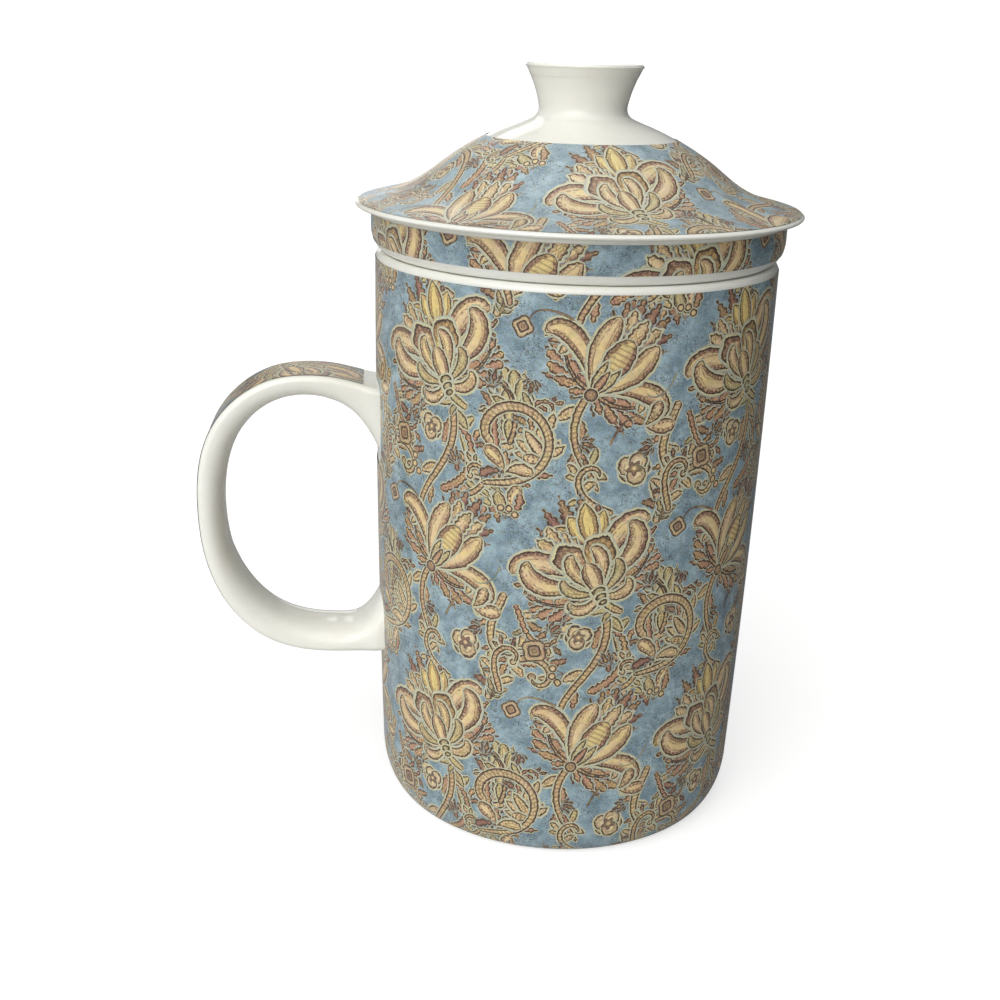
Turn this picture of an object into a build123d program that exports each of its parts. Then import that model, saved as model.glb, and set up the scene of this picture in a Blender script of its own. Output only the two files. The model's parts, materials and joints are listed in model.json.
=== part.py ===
from build123d import *
import os
from math import cos, sin, pi, radians, sqrt

os.makedirs("parts", exist_ok=True)

# Lidded tea mug with a ceramic infuser, in porcelain with printed transfers.
# Frame: +Z up, origin on the mug's axis at the plane of its foot ring, handle
# along -X.  Millimetres.  The mug stands, the infuser hangs in it by its
# collar, and the lid lies on the collar's rim.

# ---------------------------------------------------------------- dimensions
MUG_R = 38.0            # outer radius at the rim
MUG_H = 111.0           # foot plane to rim
MUG_TAPER = 0.0513      # share of the radius lost, by the square of the depth
MUG_WALL = 3.2
FOOT_W, FOOT_H = 4.6, 9.0     # rounding between wall and foot
FOOT_RING = 2.5         # width of the ring that touches the table
FOOT_RECESS = 1.2       # hollow under the base, inside the ring
FLOOR_Z = 5.5           # inner floor
FLOOR_FILLET = 7.0
RIM_OUT, RIM_IN = 1.2, 0.5    # roundings of the rim

COLLAR_R = 38.8         # outer radius of the infuser's collar
COLLAR_H = 8.2          # mug rim to the collar's own rim
COLLAR_SEAT_R = 36.0    # outer edge of the flat that lies on the mug's rim
COLLAR_CURVE_H = 4.4    # height of the rounding above that flat
COLLAR_WALL = 3.0
BASKET_R_TOP, BASKET_R_BOT = 33.6, 32.3
BASKET_Z = 38.0         # underside of the basket
BASKET_WALL, BASKET_FLOOR = 2.6, 2.5
HOLE_D = 2.4
HOLE_ROWS = (50.0, 57.0, 64.0, 71.0, 78.0)
HOLES_PER_ROW = 18
FLOOR_RINGS = ((0.0, 1), (6.0, 6), (12.0, 12), (18.0, 18))

LID_R = 41.8            # lip of the lid
LID_SEAT_Z = MUG_H + COLLAR_H
FLANGE_R, FLANGE_WALL, FLANGE_H = 35.2, 2.3, 3.6     # locating ring under the lid
KNOB_BASE_R, KNOB_BASE_Z = 9.9, 135.3
KNOB_NECK_R, KNOB_NECK_Z = 8.2, 136.7
KNOB_TOP_R, KNOB_TOP_Z = 10.85, 144.6

HANDLE_W = 14.2         # width of the strap
STRAP_OUT, STRAP_IN = 1.4, 2.0     # rounding of the strap's long edges, outer and inner
STRIP_END_R = 40.3      # the handle's transfer ends this far from the axis

FILM = 0.2              # thickness of the fired transfer with the glaze over it
MUG_PRINT_TOP = MUG_H - RIM_OUT
COLLAR_PRINT_Z = MUG_H + 1.9
COLLAR_PRINT_TOP = MUG_H + COLLAR_H - 1.1
LID_PRINT_IN = (17.7, 132.0)
LID_PRINT_OUT = (41.2, 120.08)
K = 0.5523              # quarter ellipse as a cubic curve


# ------------------------------------------------------------------- helpers
def p3(p):
    """A point of a half section, (radius, height), in the XZ plane."""
    return (p[0], 0.0, p[1])


def line(a, b):
    return Line(p3(a), p3(b))


def arc(a, m, b):
    return ThreePointArc(p3(a), p3(m), p3(b))


def quarter(a, b, corner):
    """Quarter ellipse from a to b whose tangents meet at corner."""
    c1 = (a[0] + (corner[0] - a[0]) * K, a[1] + (corner[1] - a[1]) * K)
    c2 = (b[0] + (corner[0] - b[0]) * K, b[1] + (corner[1] - b[1]) * K)
    return [a, c1, c2, b]


def split(c, t):
    """A cubic curve's control points, cut in two at t."""
    mix = lambda p, q: (p[0] + (q[0] - p[0]) * t, p[1] + (q[1] - p[1]) * t)
    a, b, d = mix(c[0], c[1]), mix(c[1], c[2]), mix(c[2], c[3])
    e, f = mix(a, b), mix(b, d)
    g = mix(e, f)
    return [c[0], a, e, g], [g, f, d, c[3]]


def at_height(c, z):
    """Where a rising cubic curve reaches a height."""
    lo, hi = 0.0, 1.0
    for _ in range(60):
        t = (lo + hi) / 2
        if split(c, t)[0][3][1] < z:
            lo = t
        else:
            hi = t
    return (lo + hi) / 2


def bez(c):
    return Bezier(*[p3(p) for p in c])


def spline(points, start=None, end=None):
    if start is None:
        return Spline(*[p3(p) for p in points])
    return Spline(*[p3(p) for p in points], tangents=[p3(start), p3(end)])


def turned(edges):
    """A solid of revolution from the closed edges of its half section."""
    return revolve(make_face(edges), axis=Axis.Z, revolution_arc=360)


def offset_points(edge, t, n, side):
    """Points t away from an edge in the XZ plane, on the side given by +1 or -1."""
    out = []
    for i in range(n + 1):
        u = i / n
        p, d = edge @ u, edge % u
        out.append((p.X + side * d.Z * t, p.Z - side * d.X * t))
    return out


def skin(edges, side, n=8):
    """The half section of a film that lies on the given chain of edges."""
    pts = []
    for e in edges:
        new = offset_points(e, FILM, n, side)
        pts += new if not pts else new[1:]
    first, last = edges[0] @ 0, edges[-1] @ 1
    a, b = (first.X, first.Z), (last.X, last.Z)
    return [*edges, line(b, pts[-1]), spline(pts), line(pts[0], a)]


def save(shape, name):
    shape.label = name
    export_step(shape, f"parts/{name}.step")


# ------------------------------------------------------------------ mug body
def mug_r(z):
    return MUG_R * (1 - MUG_TAPER * ((MUG_H - z) / MUG_H) ** 2)


def mug_slope(z):
    return 2 * MUG_R * MUG_TAPER * (MUG_H - z) / MUG_H**2


wall_foot = (mug_r(FOOT_H), FOOT_H)
wall_top = (mug_r(MUG_H - RIM_OUT), MUG_H - RIM_OUT)
foot_out = wall_foot[0] - FOOT_W
foot_curve = quarter((foot_out, 0.0), wall_foot, (wall_foot[0], 0.0))
foot_curve[2] = (wall_foot[0] - mug_slope(FOOT_H) * FOOT_H * K, FOOT_H * (1 - K))
foot_low, foot_high = split(foot_curve, at_height(foot_curve, 1.3))
outer_wall = spline(
    [(mug_r(z), z) for z in (FOOT_H, 24, 42, 60, 78, 96, MUG_H - RIM_OUT)],
    (mug_slope(FOOT_H), 1.0),
    (mug_slope(MUG_H - RIM_OUT), 1.0),
)
rim_c = (MUG_R - RIM_OUT, MUG_H - RIM_OUT)
rim_out = arc(wall_top, (rim_c[0] + RIM_OUT * cos(pi / 4), rim_c[1] + RIM_OUT * sin(pi / 4)), (rim_c[0], MUG_H))
inner_r = MUG_R - MUG_WALL
rim_in = arc(
    (inner_r + RIM_IN, MUG_H),
    (inner_r + RIM_IN * (1 - cos(pi / 4)), MUG_H - RIM_IN * (1 - sin(pi / 4))),
    (inner_r, MUG_H - RIM_IN),
)
corner_z = FLOOR_Z + FLOOR_FILLET
corner_r = mug_r(corner_z) - MUG_WALL
inner_wall = spline(
    [(inner_r, MUG_H - RIM_IN)] + [(mug_r(z) - MUG_WALL, z) for z in (92, 74, 56, 38, 24)] + [(corner_r, corner_z)],
    (0.0, -1.0),
    (-mug_slope(corner_z), -1.0),
)
floor_corner = bez(quarter((corner_r, corner_z), (corner_r - FLOOR_FILLET, FLOOR_Z), (corner_r, FLOOR_Z)))
foot_in = foot_out - FOOT_RING
recess = bez(
    quarter((foot_in - 1.4, FOOT_RECESS), (foot_in, 0.0), (foot_in - 0.3, FOOT_RECESS))
)
mug_body = turned(
    [
        line((foot_in, 0.0), (foot_out, 0.0)),
        bez(foot_low),
        bez(foot_high),
        outer_wall,
        rim_out,
        line((rim_c[0], MUG_H), (inner_r + RIM_IN, MUG_H)),
        rim_in,
        inner_wall,
        floor_corner,
        line((corner_r - FLOOR_FILLET, FLOOR_Z), (0.0, FLOOR_Z)),
        line((0.0, FLOOR_Z), (0.0, FOOT_RECESS)),
        line((0.0, FOOT_RECESS), (foot_in - 1.4, FOOT_RECESS)),
        recess,
    ]
)
save(mug_body, "mug_body")

# The mug's outside as a full solid, to cut what is luted onto it.
mug_full = turned(
    [
        line((0.0, 0.0), (foot_out, 0.0)),
        bez(foot_low),
        bez(foot_high),
        outer_wall,
        line(wall_top, (0.0, wall_top[1])),
        line((0.0, wall_top[1]), (0.0, 0.0)),
    ]
)

# -------------------------------------------------------------------- handle
# Side view of the strap, as (distance from the axis, height): an open C that
# leaves the wall almost level, and flares where it is luted on.  Both curves
# run on into the wall, and are cut back to its surface.
outer_pts = [
    (34.6, 84.75), (40.3, 86.15), (46.2, 87.5), (52.0, 87.8), (57.8, 86.9), (63.1, 84.2),
    (67.6, 79.9), (70.7, 74.2), (72.2, 67.3), (72.4, 60.0), (71.7, 52.6), (69.7, 45.6),
    (65.9, 39.0), (60.4, 34.0), (53.2, 31.3), (44.6, 30.6), (34.6, 30.8),
]
inner_pts = [
    (34.6, 62.5), (35.6, 66.8), (37.0, 71.2), (38.9, 75.6), (41.6, 79.7), (46.2, 82.9),
    (51.6, 84.0), (56.9, 83.1), (61.4, 80.4), (65.0, 75.9), (67.4, 70.0), (68.5, 63.2),
    (68.4, 56.2), (67.1, 49.2), (64.2, 42.7), (59.6, 37.7), (53.6, 35.0), (46.6, 34.3),
    (42.4, 35.2), (39.4, 37.8), (37.1, 41.9), (35.6, 46.0), (34.6, 50.5),
]


def mirror(pts):
    return [(-r, z) for r, z in pts]


def across(face, width):
    """A plate of the given width, square to the handle's own plane."""
    return extrude(Pos(0, -width / 2, 0) * face, amount=width, dir=(0, 1, 0))


strap_outer = spline(mirror(outer_pts))
strap_inner = spline(mirror(inner_pts))
o0, o1 = mirror(outer_pts)[0], mirror(outer_pts)[-1]
i0, i1 = mirror(inner_pts)[0], mirror(inner_pts)[-1]
strap = across(make_face([strap_outer, line(o1, i1), strap_inner, line(i0, o0)]), HANDLE_W)
long_edges = [
    e
    for e in strap.edges()
    if e.geom_type == GeomType.BSPLINE and e.bounding_box().size.Y < 1e-6
]
tall = max(e.bounding_box().size.Z for e in long_edges) - 1.0
strap = fillet([e for e in long_edges if e.bounding_box().size.Z > tall], STRAP_OUT)
inner_edges = [
    e
    for e in strap.edges()
    if e.geom_type == GeomType.BSPLINE
    and e.bounding_box().size.Y < 1e-6
    and abs(e.bounding_box().max.Z - 84.0) < 0.3
    and abs(abs(e.center().Y) - HANDLE_W / 2) < 1e-3
]
strap = fillet(inner_edges, STRAP_IN)
mug_handle = strap - mug_full
save(mug_handle, "mug_handle")


# ------------------------------------------------------------- mug transfers
def window(z0, z1, y):
    """A rounded opening in the mug's transfer, where the handle is luted on."""
    pane = Plane.YZ * Pos(0, (z0 + z1) / 2) * RectangleRounded(2 * y, z1 - z0, 3.0)
    return extrude(pane, amount=-60)


mug_print = turned(skin([bez(foot_high), outer_wall], 1, 14))
for z0, z1 in ((70.2, 86.6), (30.2, 42.8)):
    mug_print = mug_print - window(z0, z1, HANDLE_W / 2 + 0.5)
save(mug_print, "mug_print")

# The strip on the strap's outer face stops short of the wall at both ends.
strip = across(make_face(skin([strap_outer], 1, 60)), HANDLE_W - 2 * STRAP_OUT)
handle_print = strip & Pos(-STRIP_END_R - 30, 0, 60) * Box(60, 30, 90)
save(handle_print, "handle_print")

# ------------------------------------------------------------------- infuser
rim_z = LID_SEAT_Z
collar_curve = quarter(
    (COLLAR_SEAT_R, MUG_H), (COLLAR_R, MUG_H + COLLAR_CURVE_H), (COLLAR_R, MUG_H)
)
collar_low, collar_high = split(collar_curve, at_height(collar_curve, COLLAR_PRINT_Z))
collar_in = COLLAR_R - COLLAR_WALL
step_z = MUG_H + 3.0
basket_in_top = BASKET_R_TOP - BASKET_WALL
basket_in_bot = BASKET_R_BOT - BASKET_WALL
side_line = line((COLLAR_R, MUG_H + COLLAR_CURVE_H), (COLLAR_R, COLLAR_PRINT_TOP))
infuser = turned(
    [
        line((0.0, BASKET_Z), (BASKET_R_BOT - 8.0, BASKET_Z)),
        bez(quarter((BASKET_R_BOT - 8.0, BASKET_Z), (BASKET_R_BOT, BASKET_Z + 8.0), (BASKET_R_BOT, BASKET_Z))),
        line((BASKET_R_BOT, BASKET_Z + 8.0), (BASKET_R_TOP, MUG_H - 0.8)),
        bez(quarter((BASKET_R_TOP, MUG_H - 0.8), (BASKET_R_TOP + 0.8, MUG_H), (BASKET_R_TOP, MUG_H))),
        line((BASKET_R_TOP + 0.8, MUG_H), (COLLAR_SEAT_R, MUG_H)),
        bez(collar_low),
        bez(collar_high),
        side_line,
        line((COLLAR_R, COLLAR_PRINT_TOP), (COLLAR_R, rim_z - 0.9)),
        bez(quarter((COLLAR_R, rim_z - 0.9), (COLLAR_R - 0.9, rim_z), (COLLAR_R, rim_z))),
        line((COLLAR_R - 0.9, rim_z), (collar_in + 0.8, rim_z)),
        bez(quarter((collar_in + 0.8, rim_z), (collar_in, rim_z - 0.8), (collar_in, rim_z))),
        line((collar_in, rim_z - 0.8), (collar_in, step_z + 1.4)),
        bez(quarter((collar_in, step_z + 1.4), (collar_in - 1.4, step_z), (collar_in, step_z))),
        line((collar_in - 1.4, step_z), (basket_in_top + 1.6, step_z)),
        bez(quarter((basket_in_top + 1.6, step_z), (basket_in_top, step_z - 1.6), (basket_in_top, step_z))),
        line((basket_in_top, step_z - 1.6), (basket_in_bot, BASKET_Z + BASKET_FLOOR + 6.0)),
        bez(
            quarter(
                (basket_in_bot, BASKET_Z + BASKET_FLOOR + 6.0),
                (basket_in_bot - 6.0, BASKET_Z + BASKET_FLOOR),
                (basket_in_bot, BASKET_Z + BASKET_FLOOR),
            )
        ),
        line((basket_in_bot - 6.0, BASKET_Z + BASKET_FLOOR), (0.0, BASKET_Z + BASKET_FLOOR)),
        line((0.0, BASKET_Z + BASKET_FLOOR), (0.0, BASKET_Z)),
    ]
)
drills = []
for i, z in enumerate(HOLE_ROWS):
    for k in range(HOLES_PER_ROW):
        a = 360.0 / HOLES_PER_ROW * (k + 0.5 * (i % 2))
        drills.append(
            Rot(0, 0, a) * Pos(31.0, 0, z) * Rot(0, 90, 0) * Cylinder(HOLE_D / 2, 9.0)
        )
for r, count in FLOOR_RINGS:
    for k in range(count):
        a = 360.0 / count * (k + (0.5 if count == 12 else 0.0))
        drills.append(Rot(0, 0, a) * Pos(r, 0, BASKET_Z + 1.0) * Cylinder(HOLE_D / 2, 8.0))
infuser = infuser - drills
save(infuser, "infuser")

collar_print = turned(skin([bez(collar_high), side_line], 1, 8))
save(collar_print, "collar_print")

# ----------------------------------------------------------------------- lid
# Outside of the lid from the knob to the lip: a low cone, a round shoulder,
# then a hollow sweep out to a thin rounded lip.
crown = spline(
    [(KNOB_BASE_R, KNOB_BASE_Z), (13.2, 134.03), LID_PRINT_IN], (1.0, -0.42), (1.0, -0.5)
)
slope = spline(
    [
        LID_PRINT_IN, (21.0, 130.2), (24.4, 128.0), (27.6, 125.55), (30.6, 123.55),
        (33.6, 122.15), (37.0, 121.15), (39.3, 120.6), LID_PRINT_OUT,
    ],
    (1.0, -0.5),
    (1.0, -0.36),
)
lip = spline(
    [LID_PRINT_OUT, (41.6, 119.88), (LID_R, 119.6), (41.6, 119.3), (41.2, LID_SEAT_Z)],
    (1.0, -0.36),
    (-1.0, 0.0),
)
flange_in = FLANGE_R - FLANGE_WALL
flange_z = LID_SEAT_Z - FLANGE_H
under = spline(
    [(flange_in, LID_SEAT_Z - 0.6), (31.3, 120.3), (26.2, 123.4), (19.6, 127.9), (12.2, 131.3), (0.0, 132.3)],
    (0.0, 1.0),
    (-1.0, 0.0),
)
lid_shell = turned(
    [
        line((0.0, KNOB_BASE_Z), (KNOB_BASE_R, KNOB_BASE_Z)),
        crown,
        slope,
        lip,
        line((41.2, LID_SEAT_Z), (FLANGE_R, LID_SEAT_Z)),
        line((FLANGE_R, LID_SEAT_Z), (FLANGE_R, flange_z + 0.9)),
        bez(quarter((FLANGE_R, flange_z + 0.9), (FLANGE_R - 0.9, flange_z), (FLANGE_R, flange_z))),
        line((FLANGE_R - 0.9, flange_z), (flange_in + 0.9, flange_z)),
        bez(quarter((flange_in + 0.9, flange_z), (flange_in, flange_z + 0.9), (flange_in, flange_z))),
        line((flange_in, flange_z + 0.9), (flange_in, LID_SEAT_Z - 0.6)),
        under,
        line((0.0, 132.3), (0.0, KNOB_BASE_Z)),
    ]
)
save(lid_shell, "lid_shell")

knob_side = spline(
    [
        (KNOB_BASE_R, KNOB_BASE_Z), (8.75, 135.95), (KNOB_NECK_R, KNOB_NECK_Z + 0.3), (8.4, 138.7),
        (9.05, 140.9), (9.88, 142.9), (KNOB_TOP_R - 0.3, KNOB_TOP_Z - 0.35),
    ],
    (-1.0, 0.45),
    (0.46, 1.0),
)
knob_edge = spline(
    [(KNOB_TOP_R - 0.3, KNOB_TOP_Z - 0.35), (KNOB_TOP_R, KNOB_TOP_Z + 0.08), (KNOB_TOP_R - 0.22, KNOB_TOP_Z + 0.38), (9.9, 145.06)],
    (0.46, 1.0),
    (-1.0, 0.04),
)
knob_top = spline([(9.9, 145.06), (5.0, 145.17), (0.0, 145.2)], (-1.0, 0.04), (-1.0, 0.0))
lid_knob = turned(
    [
        knob_side,
        knob_edge,
        knob_top,
        line((0.0, 145.2), (0.0, KNOB_BASE_Z)),
        line((0.0, KNOB_BASE_Z), (KNOB_BASE_R, KNOB_BASE_Z)),
    ]
)
save(lid_knob, "lid_knob")

lid_print = turned(skin([slope], -1, 30))
save(lid_print, "lid_print")
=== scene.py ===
import functools
import json
import math

import bmesh
import bpy
import numpy as np
from mathutils import Matrix, Vector
from mathutils.geometry import delaunay_2d_cdt

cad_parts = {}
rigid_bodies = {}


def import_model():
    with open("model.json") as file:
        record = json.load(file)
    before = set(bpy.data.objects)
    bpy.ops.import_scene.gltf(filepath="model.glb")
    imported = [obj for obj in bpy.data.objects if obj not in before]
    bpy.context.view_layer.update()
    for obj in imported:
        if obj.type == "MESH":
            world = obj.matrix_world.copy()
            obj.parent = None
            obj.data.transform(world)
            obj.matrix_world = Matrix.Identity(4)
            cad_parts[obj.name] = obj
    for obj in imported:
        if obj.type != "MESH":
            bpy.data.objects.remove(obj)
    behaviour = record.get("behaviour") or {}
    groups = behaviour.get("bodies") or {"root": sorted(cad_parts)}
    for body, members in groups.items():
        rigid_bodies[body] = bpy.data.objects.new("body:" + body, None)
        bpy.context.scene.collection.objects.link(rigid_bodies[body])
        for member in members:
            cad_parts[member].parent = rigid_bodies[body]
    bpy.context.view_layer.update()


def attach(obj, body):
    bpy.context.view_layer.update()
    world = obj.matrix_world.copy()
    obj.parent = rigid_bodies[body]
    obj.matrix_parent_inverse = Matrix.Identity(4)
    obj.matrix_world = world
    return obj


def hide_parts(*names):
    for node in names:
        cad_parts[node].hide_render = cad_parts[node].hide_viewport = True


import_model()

MM = 0.001
scene = bpy.context.scene


# ------------------------------------------------------------------ materials
def lin(h):
    """A six-digit sRGB colour as linear light."""
    c = [int(h[i : i + 2], 16) / 255 for i in (0, 2, 4)]
    return tuple(x / 12.92 if x <= 0.04045 else ((x + 0.055) / 1.055) ** 2.4 for x in c)


class Tree:
    """A short way to write node trees."""

    def __init__(self, tree):
        self.t = tree

    def node(self, kind, values=None, **props):
        n = self.t.nodes.new(kind)
        for k, v in props.items():
            setattr(n, k, v)
        for k, v in (values or {}).items():
            self.put(n.inputs[k], v)
        return n

    def put(self, socket, v):
        if isinstance(v, bpy.types.NodeSocket):
            self.t.links.new(v, socket)
        elif isinstance(v, bpy.types.Node):
            self.t.links.new(v.outputs[0], socket)
        elif socket.type == "RGBA" and len(v) == 3:
            socket.default_value = (*v, 1.0)
        else:
            socket.default_value = v

    def math(self, op, a, b=0.0, c=0.0, clamp=False):
        n = self.t.nodes.new("ShaderNodeMath")
        n.operation, n.use_clamp = op, clamp
        for i, v in enumerate((a, b, c)):
            self.put(n.inputs[i], v)
        return n.outputs[0]

    def mix(self, f, a, b, kind="MIX"):
        n = self.t.nodes.new("ShaderNodeMix")
        n.data_type, n.blend_type = "RGBA", kind
        self.put(n.inputs[0], f)
        self.put(n.inputs[6], a)
        self.put(n.inputs[7], b)
        return n.outputs[2]

    def mixf(self, f, a, b):
        n = self.t.nodes.new("ShaderNodeMix")
        n.data_type = "FLOAT"
        self.put(n.inputs[0], f)
        self.put(n.inputs[2], a)
        self.put(n.inputs[3], b)
        return n.outputs[0]

    def span(self, v, a, b, c=0.0, d=1.0, kind="LINEAR"):
        n = self.t.nodes.new("ShaderNodeMapRange")
        n.interpolation_type, n.clamp = kind, True
        for i, x in enumerate((v, a, b, c, d)):
            self.put(n.inputs[i], x)
        return n.outputs[0]

    def noise(self, at, scale, detail=2.0, rough=0.5, distortion=0.0, out=0):
        n = self.node("ShaderNodeTexNoise", noise_dimensions="3D")
        self.put(n.inputs["Vector"], at)
        n.inputs["Scale"].default_value = scale
        n.inputs["Detail"].default_value = detail
        n.inputs["Roughness"].default_value = rough
        n.inputs["Distortion"].default_value = distortion
        return n.outputs[out]

    def attr(self, name, out="Fac"):
        return self.node("ShaderNodeAttribute", attribute_name=name).outputs[out]


def material(name):
    m = bpy.data.materials.new(name)
    m.use_nodes = True
    m.node_tree.nodes.clear()
    t = Tree(m.node_tree)
    out = t.node("ShaderNodeOutputMaterial")
    b = t.node("ShaderNodeBsdfPrincipled")
    m.node_tree.links.new(b.outputs[0], out.inputs[0])
    return m, t, b


def object_mm(t):
    """Position on the object in millimetres."""
    c = t.node("ShaderNodeTexCoord")
    s = t.node("ShaderNodeVectorMath", operation="SCALE")
    t.put(s.inputs[0], c.outputs["Object"])
    s.inputs["Scale"].default_value = 1000.0
    return s.outputs[0]


def porcelain(name, tint="EAE8DF", warm="E2DCCB", rough=0.1):
    """White porcelain under a clear glaze: a milky body, faint clouds and
    pinholes, and the slow ripple that a dipped glaze dries with."""
    m, t, b = material(name)
    at = object_mm(t)
    cloud = t.noise(at, 0.035, 3.0, 0.55)
    fine = t.noise(at, 0.6, 3.0, 0.6)
    body = t.mix(t.span(cloud, 0.35, 0.7), lin(tint), lin(warm))
    body = t.mix(t.math("MULTIPLY", t.span(fine, 0.4, 0.75), 0.10), body, lin("D4CFC0"))
    pin = t.node("ShaderNodeTexVoronoi", feature="F1", values={"Vector": at, "Scale": 0.16})
    speck = t.math("LESS_THAN", pin.outputs["Distance"], 0.022)
    body = t.mix(t.math("MULTIPLY", speck, 0.35), body, lin("A89A84"))
    t.put(b.inputs["Base Color"], body)
    t.put(b.inputs["Roughness"], t.span(t.noise(at, 0.11, 2.0, 0.5), 0.3, 0.75, rough * 0.8, rough * 1.5))
    b.inputs["IOR"].default_value = 1.52
    b.inputs["Subsurface Weight"].default_value = 0.12
    b.inputs["Subsurface Radius"].default_value = (1.0, 0.85, 0.7)
    b.inputs["Subsurface Scale"].default_value = 0.0015
    ripple = t.node("ShaderNodeBump", values={"Strength": 0.25, "Distance": 0.0001})
    t.put(ripple.inputs["Height"], t.math("ADD", t.noise(at, 0.12, 2.0, 0.5), t.math("MULTIPLY", t.math("MULTIPLY", speck, -1.0), 0.3)))
    t.put(b.inputs["Normal"], ripple.outputs[0])
    return m


# -------------------------------------------------------------------- artwork
# The print is drawn flat, in millimetres, out of tapered strokes and rounded
# petals in the old chintz manner.  A stroke is a row of cells, and each corner
# of a cell knows how far it is from the shape's edge, how far along and how far
# across, from which the print's material draws outlines, teeth and hatching.
TILE_W, TILE_H = 59.69, 72.0          # the drawing repeats in a half drop
CREAM, BUTTER, TAN, ROSE = "F0DAB0", "EFDC9E", "D2B594", "BC9A80"
MAUVE, PLUM, UMBER = "94786B", "775F58", "5A4740"
OLIVE, SAGE, PALE = "C6BD97", "9CA084", "E3DAC0"
TEAL = "6F858A"


class Sheet:
    """A flat drawing: later shapes cover earlier ones."""

    def __init__(self, seed=3):
        self.quads, self.values, self.looks, self.shape = [], [], [], []
        self.count = 0
        self.frames = [(np.eye(2), np.zeros(2))]
        self.dice = np.random.default_rng(seed)

    def push(self, x, y, turn=0.0, size=1.0, flip=False):
        a = math.radians(turn)
        m = np.array([[math.cos(a), -math.sin(a)], [math.sin(a), math.cos(a)]]) * size
        if flip:
            m = m @ np.array([[-1.0, 0.0], [0.0, 1.0]])
        m0, o0 = self.frames[-1]
        self.frames.append((m0 @ m, m0 @ np.array([x, y], float) + o0))

    def pop(self):
        self.frames.pop()

    def add(self, quads, values, look):
        """quads (n,4,2) and values (n,4,3) in the current frame."""
        m, o = self.frames[-1]
        size = math.sqrt(abs(np.linalg.det(m)))
        q = np.asarray(quads, float) @ m.T + o
        v = np.array(values, float)
        v[..., 0] *= size
        v[..., 1] *= size
        self.quads.append(q)
        self.values.append(v)
        self.looks.append(np.tile(look_row(look, self.count), (len(q), 1)))
        self.shape.append(np.full(len(q), self.count))
        self.count += 1

    def stacked(self):
        return (np.concatenate(self.quads), np.concatenate(self.values), np.concatenate(self.looks), np.concatenate(self.shape))


def ink(core, edge, hatch=0.6, line=1.0, veins=0.3, dots=0.0, rope=0.0, tooth=0.0, notch=0.0, rim=0.28):
    """How a shape is printed: two tones, then how strongly it is hatched from
    the edge, outlined, veined lengthwise, dotted and roped across, how deep its
    teeth are cut in mm, how dark the gaps of the teeth are, and the pale rim."""
    return dict(core=core, edge=edge, hatch=hatch, line=line, veins=veins, dots=dots, rope=rope, tooth=tooth, notch=notch, rim=rim)


def but(look, **change):
    return {**look, **change}


def look_row(k, n):
    return np.array([*lin(k["core"]), *lin(k["edge"]), k["hatch"], k["line"], k["veins"], k["dots"], k["rope"], 1.0,
                     k["tooth"], k["notch"], k["rim"]])


def turtle(x, y, heading, length, bend, step=1.6):
    """Points and headings of a line that starts at x, y and turns by
    bend radians a millimetre; bend may be a list of values, eased between."""
    ks = list(bend) if isinstance(bend, (list, tuple)) else [bend, bend]
    tight = max(abs(k) for k in ks)
    step = min(step, 0.5 / max(tight, 1e-6))
    n = max(5 if length < 4.5 else 7, int(math.ceil(length / step)))
    u = np.arange(n + 1) / n
    u = u - 0.11 * min(1.0, 8.0 / n) * np.sin(2 * math.pi * u)      # closer together at the ends
    k = np.interp(u, np.linspace(0, 1, len(ks)), ks)
    ds = length * np.diff(u)
    h = math.radians(heading) + np.concatenate([[0], np.cumsum((k[1:] + k[:-1]) / 2 * ds)])
    mid = (h[1:] + h[:-1]) / 2
    p = np.array([x, y]) + np.concatenate([[[0, 0]], np.cumsum(np.stack([np.cos(mid), np.sin(mid)], 1) * ds[:, None], 0)])
    return p, h, k, u, length


def stroke(sheet, line, left, right, look):
    """A stroke about a line; left and right give its half widths at u."""
    p, h, k, u, length = line
    wl, wr = np.array([left(x) for x in u]), np.array([right(x) for x in u])
    tight = 0.85 / np.maximum(np.abs(k), 1e-6)
    wl, wr = np.where(k > 0, np.minimum(wl, tight), wl), np.where(k < 0, np.minimum(wr, tight), wr)
    grow = look["rim"] / max(1e-6, math.sqrt(abs(np.linalg.det(sheet.frames[-1][0])))) * np.clip(6 * np.minimum(u, 1 - u) + 0.25, 0, 1)
    grow = np.minimum(grow, 0.8 * np.maximum(wl, wr) + 0.08)
    wl, wr = wl + grow, wr + grow
    wl, wr = np.where(k > 0, np.minimum(wl, tight), wl), np.where(k < 0, np.minimum(wr, tight), wr)
    nrm = np.stack([-np.sin(h), np.cos(h)], 1)
    a, b = p + nrm * wl[:, None], p - nrm * wr[:, None]
    s = u * length + sheet.dice.random() * 5.0
    one = np.ones(len(u))
    va = np.stack([0 * one, s, one], 1)
    vc = np.stack([(wl + wr) / 2, s, 0 * one], 1)
    vb = np.stack([0 * one, s, -one], 1)
    quads = np.concatenate([np.stack([a[:-1], p[:-1], p[1:], a[1:]], 1), np.stack([p[:-1], b[:-1], b[1:], p[1:]], 1)])
    vals = np.concatenate([np.stack([va[:-1], vc[:-1], vc[1:], va[1:]], 1), np.stack([vc[:-1], vb[:-1], vb[1:], vc[1:]], 1)])
    sheet.add(quads, vals, but(look, tooth=look["tooth"] * float(max(wl.max(), wr.max()))))
    return p, h


def both(f):
    return f, f


def leafy(w, peak=0.42, base=0.14):
    """Half width of a leaf: swells to w at the peak, and closes to a point."""
    def f(u):
        if u < peak:
            return w * (base + (1 - base) * math.sin(math.pi / 2 * u / peak) ** 1.1)
        return w * max(0.0, math.cos(math.pi / 2 * (u - peak) / (1 - peak))) ** 0.9 + 0.02
    return f


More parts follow.
